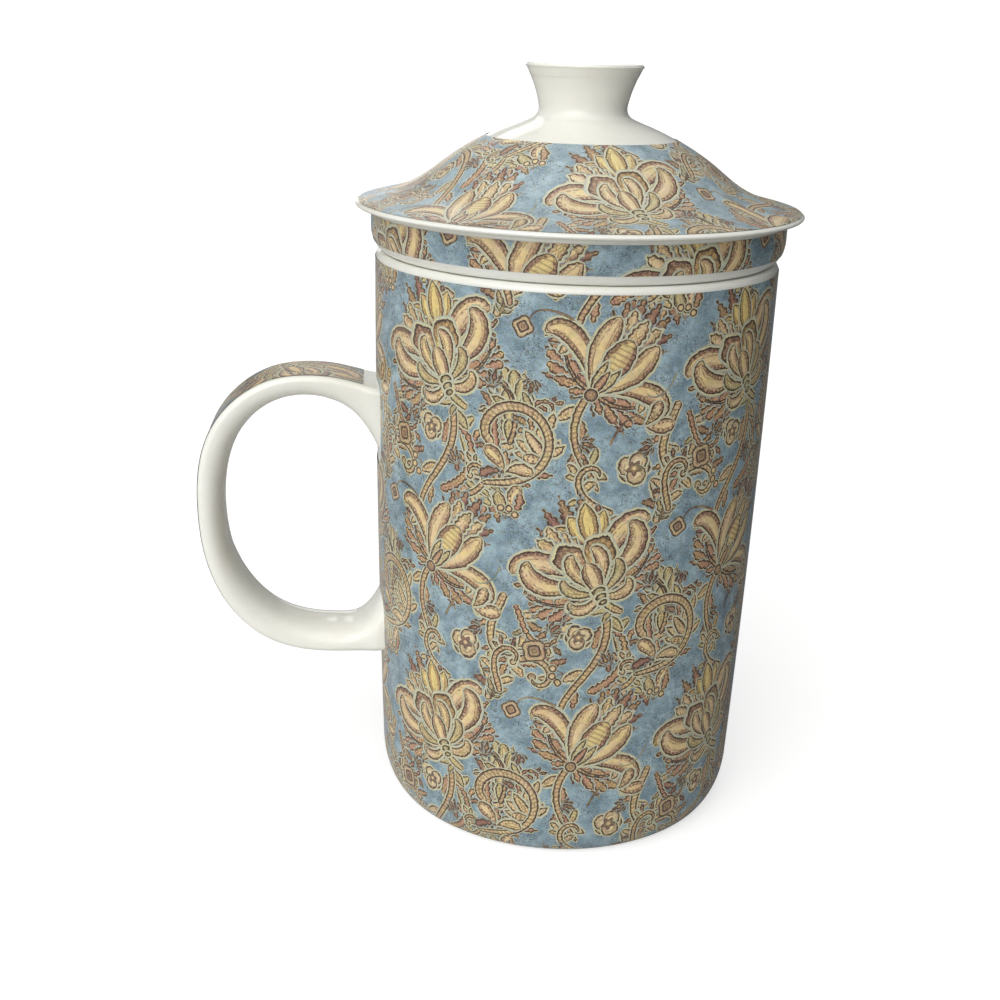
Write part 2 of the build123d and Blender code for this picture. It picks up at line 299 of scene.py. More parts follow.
def droppy(w, neck=0.28, peak=0.66):
    """Half width of a petal: a thin neck, and a round head."""
    def f(u):
        if u < peak:
            e = u / peak
            return w * (neck + (1 - neck) * e * e * (3 - 2 * e))
        e = (u - peak) / (1 - peak)
        return w * math.sqrt(max(0.0, 1 - e * e)) + 0.02
    return f


def stemmy(w0, w1, tip=0.05):
    def f(u):
        w = w0 + (w1 - w0) * u
        for e in (u, 1 - u):
            if e < tip:
                w *= math.sqrt(max(0.0, 1 - (1 - e / tip) ** 2)) * 0.95 + 0.05
        return w
    return f


def blob(sheet, x, y, radius, look, lobes=0, depth=0.0, squash=1.0, turn=0.0, n=18, ribs=0.0, off=(0.0, 0.0)):
    """A round petal: a ring of cells about a heart, ribs of them marked."""
    a = np.linspace(0, 2 * math.pi, n + 1)
    radius = radius + 0.8 * look["rim"]
    r = radius * (1 + depth * np.cos(lobes * a))
    t = math.radians(turn)
    rim = np.stack([np.cos(a) * r, np.sin(a) * r * squash], 1)
    rim = rim @ np.array([[math.cos(t), math.sin(t)], [-math.sin(t), math.cos(t)]]) + [x, y]
    c = np.array([x + off[0], y + off[1]])
    quads = np.stack([np.tile(c, (n, 1)), np.tile(c, (n, 1)), rim[:-1], rim[1:]], 1)
    per = (max(1, round(ribs)) if ribs else max(1, round(6.28 * radius / 0.95))) * 0.95 / (2 * math.pi)
    mid = (a[:-1] + a[1:]) / 2
    d = np.minimum(r[:-1], r[1:]) * min(1.0, squash)
    z, one = np.zeros(n), np.ones(n)
    vals = np.stack(
        [np.stack([d, mid * per, 0 * one], 1)] * 2
        + [np.stack([z, a[:-1] * per, one], 1), np.stack([z, a[1:] * per, one], 1)], 1)
    sheet.add(quads, vals, but(look, tooth=look["tooth"] * radius * 0.3))


K_CREAM = ink(CREAM, "D0A886", 0.95, 1.0, 0.7, rim=0.52)
K_BUTTER = ink("F2DE94", "DDBB7C", 0.7, 1.0, 0.8, rim=0.42)
K_PINK = ink(CREAM, "C99C86", 1.0, 1.0, 0.75, dots=0.9, rim=0.56)
K_TAN = ink("E2C49C", "9A7462", 0.7, 1.0, 0.2, rope=0.8, rim=0.32)
K_MAUVE = ink("D3A68B", "82564E", 1.0, 1.0, 0.9, tooth=0.3, rim=0.22)
K_PLUM = ink("A87A6E", "5A3D3E", 1.0, 0.9, 1.0, tooth=0.32, rim=0.14)
K_OLIVE = ink("D8CE9E", "A8A583", 0.8, 1.0, 0.7, rim=0.36)
K_SAGE = ink("B9B894", "7F8C80", 0.7, 0.9, 0.6, tooth=0.25, rim=0.2)
K_BUD = ink(CREAM, "CDA388", 0.6, 1.0, 0.2, dots=1.0, rim=0.38)
K_LINE = ink(UMBER, UMBER, 0.0, 0.0, 0.0, rim=0.0)
K_DUSK = ink(TEAL, TEAL, 0.0, 0.0, 0.0, rim=0.0)
K_EYE = ink(UMBER, PLUM, 0.0, 0.0, 0.0, rim=0.0)
K_PETAL = ink("EFE3C2", "DCC49C", 0.25, 1.0, 0.3, rim=0.32)


def leaf(sheet, x, y, heading, length, width, look, bend=0.0, peak=0.42):
    stroke(sheet, turtle(x, y, heading, length, bend), *both(leafy(width, peak)), look)


def spray(sheet, x, y, heading, sizes, spread, look, width=0.17, bend=0.02, spring=0.0):
    """Leaflets that fan out from one point, the outer ones first."""
    n = len(sizes)
    for i in sorted(range(n), key=lambda i: -abs(i - (n - 1) / 2)):
        o = (i - (n - 1) / 2) / max(1, (n - 1) / 2)
        a = math.radians(heading + o * spread)
        leaf(sheet, x + math.cos(a) * spring, y + math.sin(a) * spring, heading + o * spread, sizes[i], sizes[i] * width, look, -bend * o)


def fern(sheet, x, y, heading, length, bend, size, look, n=6, angle=40, width=0.2, stem=K_LINE, taper=0.45, sides=(1, -1)):
    """A stem with leaflets in pairs, the longest in the middle, and one at the tip."""
    line = turtle(x, y, heading, length, bend)
    p, h, u = line[0], line[1], line[3]
    for i in range(n):
        at = (i + 0.6) / (n + 0.6)
        j = int(round(at * (len(u) - 1)))
        s = size * (1 - taper * abs(2 * at - 0.7))
        for side in sides:
            leaf(sheet, p[j, 0], p[j, 1], math.degrees(h[j]) + side * angle, s, s * width, look, -side * 0.05)
    leaf(sheet, p[-2, 0], p[-2, 1], math.degrees(h[-1]), size * 0.8, size * 0.8 * width, look)
    stroke(sheet, line, *both(stemmy(0.32, 0.16)), stem)
    return p[-1], math.degrees(h[-1])


def petal(sheet, x, y, heading, length, width, bend, look, neck=0.28, peak=0.62):
    line = turtle(x, y, heading, length, bend)
    stroke(sheet, line, *both(droppy(width, neck, peak)), look)
    return line[0][-1], math.degrees(line[1][-1])


def tendril(sheet, x, y, heading, length, bend, width=0.26, look=K_LINE):
    stroke(sheet, turtle(x, y, heading, length, bend), *both(stemmy(width, width * 0.5)), look)


def scroll(sheet, x, y, heading, length, bend, w0, w1, look=K_TAN, leaves=()):
    """A stem with leaves set along it: (place, side, length, width, look)."""
    line = turtle(x, y, heading, length, bend)
    p, h, u = line[0], line[1], line[3]
    for at, side, size, width, lk in leaves:
        i = int(round(at * (len(u) - 1)))
        leaf(sheet, p[i, 0], p[i, 1], math.degrees(h[i]) + side * 40, size, width, lk, -side * 0.06)
    stroke(sheet, line, *both(stemmy(w0, w1, 0.03)), look)
    return p[-1], math.degrees(h[-1])


def acanthus(sheet, x, y, heading, length, bend, width, look, under=None, n=7, sides=(1, -1), curl_=0.10):
    """A long scrolling leaf of overlapping lobes either side of a rib."""
    line = turtle(x, y, heading, length, bend)
    p, h, u = line[0], line[1], line[3]
    for i in range(n, -1, -1):
        at = (i + 0.35) / (n + 1.0)
        px, py = np.interp(at, u, p[:, 0]), np.interp(at, u, p[:, 1])
        hd = math.degrees(np.interp(at, u, h))
        size = width * (0.35 + 1.0 * math.sin(math.pi * min(1.0, at * 0.95 + 0.10)) ** 0.7)
        for side in sides:
            if under is not None and i % 2 == 0:
                leaf(sheet, px, py, hd + side * 52, size * 2.05, size * 0.33, under, -side * curl_ * 0.6)
            petal(sheet, px, py, hd + side * 36, size * 1.9, size * 0.40, -side * curl_, look, 0.5, 0.6)
    petal(sheet, p[-2, 0], p[-2, 1], math.degrees(h[-1]), width * 1.3, width * 0.34, 0.0, look, 0.6, 0.5)
    stroke(sheet, line, *both(stemmy(width * 0.24, width * 0.08)), but(K_TAN, rim=0.05, rope=1.0))
    return p[-1], math.degrees(h[-1])


def rinceau(sheet, x, y, heading, length, bend, w0, w1, look=None, size=3.6, n=5, looks=None, side=0, bud=None):
    """A running scroll that rolls up at its end, with comma leaves that spring
    from it and turn back, mostly from its outer side."""
    look = look or K_TAN
    looks = looks or (K_MAUVE, K_CREAM, K_PLUM, K_OLIVE)
    line = turtle(x, y, heading, length, bend)
    p, h, k, u = line[:4]
    for i in range(n):
        at = (i + 0.5) / n * 0.80 + 0.04
        px, py = np.interp(at, u, p[:, 0]), np.interp(at, u, p[:, 1])
        hd, kk = math.degrees(np.interp(at, u, h)), np.interp(at, u, k)
        out = side if side else (-1 if kk > 0 else 1)
        if i % 3 == 2:
            out = -out
        s = size * (1.0 - 0.35 * at) * (0.8 if i % 2 else 1.0)
        lk = looks[i % len(looks)]
        petal(sheet, px, py, hd + out * 24, s * 1.7, s * 0.27, [out * 0.02, out * 0.3 / s, out * 2.2 / s], lk, 0.45, 0.5)
        petal(sheet, px, py, hd + out * 56, s * 1.15, s * 0.24, [out * 0.05, out * 2.0 / s], looks[(i + 1) % len(looks)], 0.5, 0.5)
    if bud:
        blob(sheet, p[-1, 0], p[-1, 1], w1 * 2.0, bud, n=12)
    stroke(sheet, line, *both(stemmy(w0, w1, 0.03)), look)
    return p[-1], math.degrees(h[-1])


def lobed(sheet, x, y, heading, size, look, n=7, spread=105, width=0.19):
    """A leaf of many points that spring from one place, ribbed from there."""
    for i in sorted(range(n), key=lambda i: -abs(i - (n - 1) / 2)):
        o = (i - (n - 1) / 2) / ((n - 1) / 2)
        r = size * (1.0 - 0.32 * o * o) * (1.0 if i % 2 == 0 else 0.86)
        leaf(sheet, x, y, heading + o * spread, r, size * width, look, 0.04 * o, 0.5)


def floret(sheet, x, y, size=2.2, turn=0.0):
    """A small four-petalled flower with a dark eye."""
    blob(sheet, x, y, size, but(K_PETAL, rim=0.1), 4, 0.10, turn=turn + 45, n=24)
    blob(sheet, x, y, size * 0.58, ink(ROSE, PLUM, 0.0, 1.0, 0.0, rim=0.0), 4, 0.10, turn=turn + 45, n=16)
    blob(sheet, x, y, size * 0.24, K_EYE, n=8)


def pansy(sheet, x, y, size=3.2, turn=0.0):
    """Round petals about a dark heart."""
    for a, s in ((200, 0.95), (340, 0.95), (140, 1.0), (40, 1.0), (270, 1.05)):
        r = math.radians(a + turn)
        blob(sheet, x + math.cos(r) * size * 0.46, y + math.sin(r) * size * 0.46, size * 0.56 * s, K_PETAL, n=14, turn=a + turn,
             off=(-math.cos(r) * size * 0.25, -math.sin(r) * size * 0.25))
    blob(sheet, x, y, size * 0.40, K_EYE, 5, 0.3, n=20, turn=turn + 36)
    blob(sheet, x, y, size * 0.14, ink(BUTTER, TAN, 0, 0, 0, rim=0), n=8)


def palmette(sheet):
    """The large flower: rolled petals either side of a lobed leaf, over a cup."""
    # foliage behind
    for s in (-1, 1):
        acanthus(sheet, s * 1.0, 2.0, 90 - s * 112, 10.5, s * 0.12, 2.1, K_MAUVE, K_PLUM, 5)
        rinceau(sheet, s * 2.0, 6.5, 90 - s * 62, 11.5, [-s * 0.05, -s * 0.10, -s * 0.42], 0.75, 0.4, K_MAUVE, 3.4, 4, (K_PLUM, K_MAUVE), s)
    spray(sheet, 0.0, 8.0, 90, (9.0, 11.0, 12.4, 12.8, 12.2, 10.6, 9.0), 56, K_PLUM, 0.13, 0.02)
    # the leaf, and a second flower that looks past it
    lobed(sheet, 1.8, 9.6, 78, 8.6, K_BUTTER, 9, 96, 0.20)
    lobed(sheet, -3.4, 9.8, 122, 6.8, but(K_CREAM, notch=0.6, tooth=0.2), 7, 80, 0.20)
    # rolled side petals, each with a dotted margin
    for s in (-1, 1):
        petal(sheet, s * 1.0, 5.0, 90 - s * 40, 14.5, 2.0, [-s * 0.03, -s * 0.05, -s * 0.40], K_PINK, 0.35)
        petal(sheet, s * 1.4, 4.0, 90 - s * 84, 13.5, 1.8, [s * 0.02, s * 0.12, s * 0.50], K_PINK, 0.35)
    # round hearts
    blob(sheet, 2.8, 8.6, 2.8, but(K_BUTTER, rope=0.7), 5, 0.06, 1.1, -30, ribs=9, off=(-1.3, -1.4), n=24)
    blob(sheet, -2.6, 9.4, 2.6, but(K_CREAM, rope=0.7), 5, 0.07, 1.1, 30, ribs=8, off=(1.1, -1.3), n=24)
    # inner lips
    for s in (-1, 1):
        petal(sheet, s * 0.4, 2.4, 90 - s * 30, 8.5, 1.2, [-s * 0.02, s * 0.10, s * 0.70], K_CREAM, 0.4)
        petal(sheet, s * 0.9, 1.6, 90 - s * 66, 7.0, 1.0, [-s * 0.05, s * 0.2, s * 0.85], K_OLIVE, 0.4)
    stroke(sheet, turtle(0, 1.0, 90, 6.6, 0.0), *both(droppy(1.7, 0.5, 0.6)), ink(CREAM, "A57E68", 0.8, 1.0, 1.0, rim=0.35))
    # base
    for s in (-1, 1):
        petal(sheet, 0, 1.2, 90 - s * 128, 7.5, 1.0, [s * 0.05, s * 0.3, s * 0.95], K_CREAM, 0.5)
    for i in range(3):
        blob(sheet, 0, 1.9 - 1.1 * i, 1.5 - 0.22 * i, but(K_OLIVE, rope=0.5), n=14, squash=0.62)


def lotus(sheet):
    """The second flower: a seed cup in tall sepals, with a crown above it."""
    for s in (-1, 1):
        acanthus(sheet, 0, 1.0, 90 - s * 106, 9.5, s * 0.14, 2.0, K_MAUVE, K_PLUM, 5)
        rinceau(sheet, s * 0.8, 3.0, 90 - s * 70, 12.0, [s * 0.02, -s * 0.06, -s * 0.45], 0.7, 0.4, K_MAUVE, 3.2, 4, (K_PLUM, K_CREAM), s)
    spray(sheet, 0, 8.6, 90, (7.4, 8.8, 9.8, 10.2, 9.8, 8.8, 7.4), 58, but(K_PLUM, tooth=0.3), 0.14, 0.02)
    lobed(sheet, 0, 8.4, 90, 7.8, but(K_CREAM, notch=0.6, tooth=0.2), 7, 62, 0.18)
    for s in (-1, 1):
        petal(sheet, s * 0.5, 1.8, 90 - s * 54, 14.0, 1.65, [s * 0.03, -s * 0.06, -s * 0.16, -s * 0.70], K_PINK, 0.35)
        petal(sheet, s * 0.4, 1.2, 90 - s * 32, 12.5, 1.8, [-s * 0.05, s * 0.09, s * 0.12, -s * 0.24], K_CREAM, 0.4)
    stroke(sheet, turtle(0, 0.5, 90, 10.6, 0.0), *both(droppy(2.3, 0.35, 0.6)), but(K_BUD, core=BUTTER, rope=0.7))
    for s in (-1, 1):
        leaf(sheet, 0, 0.3, 90 - s * 22, 6.4, 0.8, K_OLIVE, s * 0.06)
    leaf(sheet, 0, 0.3, 90, 5.0, 0.75, but(K_MAUVE, tooth=0.0))
    blob(sheet, 0, 0.3, 1.1, ink(ROSE, PLUM, 0.2, 1.0, 0.0, rope=0.8, rim=0.2), n=14)


def ring(sheet):
    """A stem rolled into a ring, with a fan of petals held inside it."""
    spray(sheet, 1.5, 3.2, 118, (4.8, 6.0, 6.6, 6.8, 6.6, 6.0, 4.8), 74, K_CREAM, 0.15, 0.05)
    petal(sheet, 1.6, 3.6, 200, 4.2, 1.0, -0.25, K_BUD)
    petal(sheet, 1.2, 3.0, 40, 3.8, 0.9, 0.3, K_OLIVE)
    scroll(sheet, -11.0, -0.6, 4, 37.5, [-0.06, 0.08, 0.145, 0.155, 0.165, 0.18, 0.5], 0.6, 1.05, but(K_TAN, core=CREAM, rim=0.25), [
        (0.04, -1, 3.4, 0.6, K_SAGE), (0.12, 1, 3.0, 0.55, K_MAUVE), (0.30, -1, 4.0, 0.75, K_MAUVE), (0.40, -1, 4.2, 0.75, K_CREAM),
        (0.50, -1, 4.2, 0.75, K_CREAM), (0.60, -1, 4.2, 0.75, K_OLIVE), (0.70, -1, 3.8, 0.7, K_OLIVE), (0.80, -1, 3.2, 0.6, K_SAGE)])


def berries(sheet, x, y, heading, n=3, size=1.0):
    for i in range(n):
        a = heading + (i - (n - 1) / 2) * 42
        r = math.radians(a)
        tendril(sheet, x, y, a, size * 2.4, 0.1, 0.14)
        blob(sheet, x + math.cos(r) * size * 2.8, y + math.sin(r) * size * 2.8, size, but(K_BUD, dots=0.0, rim=0.18), n=10)


def cell_drawing(sheet):
    """One cell of the half drop."""
    # foliage that lies furthest back
    rinceau(sheet, 13.2, -22.0, 84, 24.0, [0.02, 0.06, -0.05, -0.16, -0.5, -0.75], 1.05, 0.55, K_MAUVE, 4.4, 6, (K_PLUM, K_MAUVE, K_CREAM), bud=K_BUD)
    acanthus(sheet, -14.5, 21.0, 66, 13.0, [0.06, 0.12, 0.2], 2.5, K_OLIVE, K_SAGE, 6)
    rinceau(sheet, 1.5, 46.5, 20, 24.0, [0.05, 0.12, 0.16, 0.30, 0.75], 1.1, 0.5, K_MAUVE, 4.2, 6, (K_MAUVE, K_PLUM, K_OLIVE), bud=K_PINK)
    # long stems
    scroll(sheet, 3.2, -6.5, -70, 33, [-0.02, -0.10, -0.02, 0.10, 0.14], 0.8, 0.5, K_TAN,
           [(0.12, 1, 5.0, 1.0, K_OLIVE), (0.2, -1, 6.5, 1.25, K_MAUVE), (0.34, 1, 6.0, 1.15, K_PLUM), (0.50, -1, 5.5, 1.05, K_CREAM),
            (0.58, 1, 5.0, 1.0, K_MAUVE), (0.74, 1, 5.0, 0.9, K_SAGE)])
    scroll(sheet, -0.6, 31.5, -128, 20, [0.05, 0.12, 0.06, -0.10], 0.75, 0.5, K_TAN,
           [(0.2, -1, 5.0, 1.0, K_CREAM), (0.3, 1, 5.4, 1.1, K_MAUVE), (0.55, -1, 5.0, 1.0, K_PLUM), (0.7, 1, 4.4, 0.9, K_OLIVE)])
    # running scrolls in the ground
    rinceau(sheet, 15.5, 29.5, -112, 22.0, [-0.03, 0.05, 0.20, 0.42, 0.8], 0.95, 0.45, but(K_TAN, core=CREAM), 3.8, 6, (K_CREAM, K_MAUVE, K_OLIVE))
    rinceau(sheet, -17.5, 43.0, 72, 25.0, [0.04, -0.10, -0.16, -0.34, -0.8], 1.0, 0.45, but(K_TAN, core=CREAM), 4.0, 6, (K_CREAM, K_PLUM, K_MAUVE), bud=K_BUD)
    rinceau(sheet, 7.5, 62.5, 160, 15.0, [-0.06, -0.14, -0.5, -0.9], 0.8, 0.4, K_OLIVE, 3.2, 5, (K_OLIVE, K_SAGE))
    rinceau(sheet, -9.5, 22.5, 118, 12.5, [-0.02, -0.2, -0.55, -0.9], 0.65, 0.35, K_MAUVE, 2.8, 4, (K_PLUM, K_MAUVE))
    fern(sheet, 13.0, 7.5, 60, 8.0, 0.10, 3.4, K_SAGE, 4, 46, 0.22)
    rinceau(sheet, 8.5, 47.5, -20, 17.0, [0.05, 0.16, 0.40, 0.85], 0.75, 0.4, K_MAUVE, 3.6, 5, (K_PLUM, K_MAUVE, K_SAGE), bud=K_BUD)
    rinceau(sheet, 4.5, 9.5, 165, 16.0, [-0.05, -0.12, -0.35, -0.85], 0.75, 0.4, but(K_TAN, core=CREAM), 3.6, 5, (K_CREAM, K_OLIVE, K_MAUVE))
    rinceau(sheet, 15.0, 9.0, 100, 15.0, [0.10, -0.10, -0.40, -0.85], 0.7, 0.4, K_TAN, 3.4, 5, (K_MAUVE, K_CREAM, K_PLUM), bud=K_PINK)
    rinceau(sheet, -12.5, -8.5, -60, 17.0, [-0.12, 0.12, 0.45, 0.85], 0.75, 0.4, K_MAUVE, 3.6, 5, (K_PLUM, K_CREAM, K_SAGE))
    rinceau(sheet, 6.0, -25.5, 10, 13.0, [0.08, 0.20, 0.55, 0.9], 0.65, 0.35, K_TAN, 3.2, 4, (K_OLIVE, K_CREAM), bud=K_BUD)
    # flowers
    sheet.push(-9.0, 15.6, 8, 1.0)
    ring(sheet)
    sheet.pop()
    sheet.push(3.4, -7.0, 24, 1.06)
    palmette(sheet)
    sheet.pop()
    sheet.push(-0.9, 30.6, -36, 1.08)
    lotus(sheet)
    sheet.pop()
    floret(sheet, -8.6, 54.6, 2.3, 10)
    floret(sheet, 17.2, 6.0, 1.8, 30)
    pansy(sheet, 7.6, 17.8, 3.2, 20)
    pansy(sheet, -0.6, 57.8, 2.7, -15)
    # buds on short stems
    petal(sheet, 9.0, 25.5, -20, 6.0, 1.4, 0.12, K_BUD)
    petal(sheet, 9.0, 25.5, 30, 5.2, 1.2, 0.2, K_PINK)
    petal(sheet, -13.6, 8.5, 100, 5.8, 1.35, -0.16, K_BUD)
    petal(sheet, -13.6, 8.5, 160, 5.2, 1.2, -0.25, K_OLIVE)
    petal(sheet, -13.6, 8.5, 40, 4.6, 1.0, 0.25, K_MAUVE)
    petal(sheet, 14.5, 52.0, 100, 6.0, 1.4, 0.2, K_BUD)
    petal(sheet, 14.8, 52.0, 40, 5.6, 1.2, -0.25, K_CREAM)
    petal(sheet, 14.6, 52.0, 160, 5.2, 1.1, 0.25, K_PLUM)
    tendril(sheet, 3.0, 22.0, 70, 9.0, [-0.05, -0.12, -0.7])
    tendril(sheet, -4.0, 43.5, 150, 9.5, [0.05, 0.14, 0.75])
    tendril(sheet, -4.5, 60.0, 40, 7.0, [0.1, 0.2, 0.8], 0.22, K_DUSK)
    tendril(sheet, 14.5, 34.5, 250, 8.0, [-0.05, -0.2, -0.7], 0.22, K_DUSK)
    berries(sheet, -3.0, 50.5, 200, 3, 0.8)
    berries(sheet, 15.0, 43.5, 70, 3, 0.75)
    for x, y, a in ((-6.0, -13.5, 40), (10.8, 21.8, 200), (-2.0, 22.6, -20), (5.2, 52.2, 120), (-10.6, 33.0, 260), (12.2, -4.5, 80)):
        spray(sheet, x, y, a, (2.0, 2.6, 3.0, 2.6, 2.0), 66, K_PLUM, 0.2, 0.03)


# ------------------------------------------------- flat drawing to printed mesh
def lattice(sheet, box):
    """The drawing's cells, repeated in a half drop over a box."""
    quads, vals, looks, shape = sheet.stacked()
    n = sheet.count
    x0, y0, x1, y1 = box
    lo = np.full((n, 2), 1e9)           # each shape's own box
    hi = np.full((n, 2), -1e9)
    np.minimum.at(lo, shape, quads.min(1))
    np.maximum.at(hi, shape, quads.max(1))
    found = []
    for i in range(int(x0 / TILE_W * 2) - 4, int(x1 / TILE_W * 2) + 5):
        for j in range(int(y0 / TILE_H) - 3, int(y1 / TILE_H) + 3):
            off = np.array([i * TILE_W / 2, (j + 0.5 * (i % 2)) * TILE_H])
            keep = ((lo + off < [x1, y1]) & (hi + off > [x0, y0])).all(1)
            if keep.any():
                found.append((off, keep))
    # the order of the shapes is kept across the copies, so that what is drawn
    # late lies on top in all of them
    out = []
    for i, (off, keep) in enumerate(found):
        use = keep[shape]
        out.append((quads[use] + off, vals[use], looks[use], shape[use] * len(found) + i))
    q, v, l, s = (np.concatenate(x) for x in zip(*out))
    order = np.argsort(s, kind="stable")
    return q[order], v[order], l[order], s[order]


def in_sight(quads, shape, box, fine=0.2):
    """Which cells can be seen from above: each is painted on a coarse board in
    its turn, and one that is wholly painted over is left out."""
    x0, y0, x1, y1 = box
    nx, ny = int((x1 - x0) / fine) + 1, int((y1 - y0) / fine) + 1
    board = np.full((ny, nx), -1, np.int64)

    def cover(q, grow):
        lo = np.floor((q.min(0) - [x0, y0]) / fine - grow).astype(int)
        hi = np.ceil((q.max(0) - [x0, y0]) / fine + grow).astype(int)
        a, b = max(0, lo[0]), min(nx, hi[0] + 1)
        c, d = max(0, lo[1]), min(ny, hi[1] + 1)
        if a >= b or c >= d:
            return None
        px, py = np.meshgrid(x0 + (np.arange(a, b) + 0.5) * fine, y0 + (np.arange(c, d) + 0.5) * fine)
        e = np.roll(q, -1, 0) - q
        size = np.maximum(np.hypot(e[:, 0], e[:, 1]), 1e-9)
        turn = 1.0 if (q[2, 0] - q[0, 0]) * (q[3, 1] - q[1, 1]) - (q[2, 1] - q[0, 1]) * (q[3, 0] - q[1, 0]) > 0 else -1.0
        hit = np.ones(px.shape, bool)
        for k in range(4):
            if size[k] < 1e-6:
                continue
            hit &= turn * (e[k, 0] * (py - q[k, 1]) - e[k, 1] * (px - q[k, 0])) / size[k] > -grow * fine
        return (slice(c, d), slice(a, b)), hit

    for i, q in enumerate(quads):
        got = cover(q, 0.0)
        if got is not None:
            board[got[0]][got[1]] = shape[i]
    seen = np.zeros(len(quads), bool)
    for i, q in enumerate(quads):
        got = cover(q, 0.8)
        seen[i] = got is not None and bool((board[got[0]][got[1]] == shape[i]).any())
    return seen


def trim(sheet):
    """Drops the cells of the drawing that its own repeat covers wherever it
    falls, which is found on one cell of the half drop."""
    quads, vals, looks, shape = sheet.stacked()
    n = len(quads)
    tagged = Sheet()
    tagged.quads, tagged.shape, tagged.count = [quads], [shape], sheet.count
    tagged.values, tagged.looks = [vals], [np.arange(n)[:, None].astype(float)]
    box = (0.0, 0.0, TILE_W / 2, TILE_H)
    q, _, tag, s = lattice(tagged, box)
    near = ((q.max(1) > [box[0], box[1]]) & (q.min(1) < [box[2], box[3]])).all(1)
    q, tag, s = q[near], tag[near, 0].astype(int), s[near]
    seen = np.zeros(n, bool)
    seen[tag[in_sight(q, s, box)]] = True
    sheet.quads, sheet.values, sheet.looks, sheet.shape = [quads[seen]], [vals[seen]], [looks[seen]], [shape[seen]]
    print("cells", n, "in sight", int(seen.sum()))


def flatten(sheet, box, fences, inside, grid=2.2, rows=1, shift=(0.0, 0.0)):
    """Cuts the overlapping shapes into one layer of triangles over a box.
    fences are closed rows of points that the triangles follow, and inside tells
    which of their centres to keep.  Returns points (n,2), triangles (m,3) and,
    for each corner, the values and the look of the shape on top there."""
    x0, y0, x1, y1 = box
    quads, vals, looks, shape = lattice(sheet, (x0 - shift[0], y0 - shift[1], x1 - shift[0], y1 - shift[1]))
    quads = quads + np.array(shift)
    nx, ny = rows * max(1, round((x1 - x0) / grid / rows)), max(1, round((y1 - y0) / grid))
    gx, gy = np.linspace(x0, x1, nx + 1), np.linspace(y0, y1, ny + 1)
    verts = [Vector((a, b)) for b in gy for a in gx]
    faces = [[j * (nx + 1) + i, j * (nx + 1) + i + 1, (j + 1) * (nx + 1) + i + 1, (j + 1) * (nx + 1) + i] for j in range(ny) for i in range(nx)]
    ground = len(faces)
    # cells wholly outside the box are left out, and the rest turned one way round
    keep = ((quads.max(1) > [x0, y0]) & (quads.min(1) < [x1, y1])).all(1)
    e1, e2 = quads[:, 2] - quads[:, 0], quads[:, 3] - quads[:, 1]
    area = e1[:, 0] * e2[:, 1] - e1[:, 1] * e2[:, 0]
    keep &= np.abs(area) > 1e-5
    quads, vals, looks, area, shape = quads[keep], vals[keep], looks[keep], area[keep], shape[keep]
    base = len(verts)
    flat = quads.reshape(-1, 2)
    verts += [Vector(p) for p in flat]
    for i, a in enumerate(area):
        f = [base + 4 * i + k for k in range(4)]
        if np.abs(quads[i, 0] - quads[i, 1]).max() < 1e-9:
            f = f[1:]
        faces.append(f if a > 0 else f[::-1])
    edges = []
    for ring in fences:
        b = len(verts)
        verts += [Vector(p) for p in ring]
        edges += [(b + i, b + (i + 1) % len(ring)) for i in range(len(ring))]
    ov, oe, of, _, _, src = delaunay_2d_cdt(verts, edges, faces, 1, 1e-4)
    pts = np.array([tuple(p) for p in ov])
    tri = np.array([f for f in of])
    top = np.array([max(s) if s else -1 for s in src])
    cen = pts[tri].mean(1)
    use = (top >= 0) & inside(cen) & (cen[:, 0] > x0) & (cen[:, 0] < x1) & (cen[:, 1] > y0) & (cen[:, 1] < y1)
    tri, top = tri[use], top[use] - ground
    # values at the corners, from the cell on top
    p = pts[tri]
    on = top >= 0
    val = np.zeros((len(tri), 3, 3))
    look = np.zeros((len(tri), 15))
    if on.any():
        q, v = quads[top[on]], vals[top[on]]
        look[on] = looks[top[on]]
        a, b, c, d = (q[:, None, k] for k in range(4))
        va, vb, vc, vd = (v[:, None, k] for k in range(4))
        x = p[on]

        def bary(a, b, c):
            v0, v1, v2 = b - a, c - a, x - a
            den = v0[..., 0] * v1[..., 1] - v1[..., 0] * v0[..., 1]
            den = np.where(np.abs(den) < 1e-12, 1e-12, den)
            w1 = (v2[..., 0] * v1[..., 1] - v1[..., 0] * v2[..., 1]) / den
            w2 = (v0[..., 0] * v2[..., 1] - v2[..., 0] * v0[..., 1]) / den
            return np.stack([1 - w1 - w2, w1, w2], -1)

        w1, w2 = bary(a, b, c), bary(a, c, d)
        first = (w1.min(-1) >= w2.min(-1))[..., None]
        same = (np.abs(q[:, 0] - q[:, 1]).max(-1) < 1e-9)[:, None, None]
        first = first & ~same
        w1, w2 = np.clip(w1, 0, 1), np.clip(w2, 0, 1)
        w1, w2 = w1 / w1.sum(-1, keepdims=True), w2 / w2.sum(-1, keepdims=True)
        r1 = w1[..., :1] * va + w1[..., 1:2] * vb + w1[..., 2:] * vc
        r2 = w2[..., :1] * va + w2[..., 1:2] * vc + w2[..., 2:] * vd
        val[on] = np.where(first, r1, r2)
    used, inv = np.unique(tri, return_inverse=True)
    return pts[used], inv.reshape(tri.shape), val, look, on


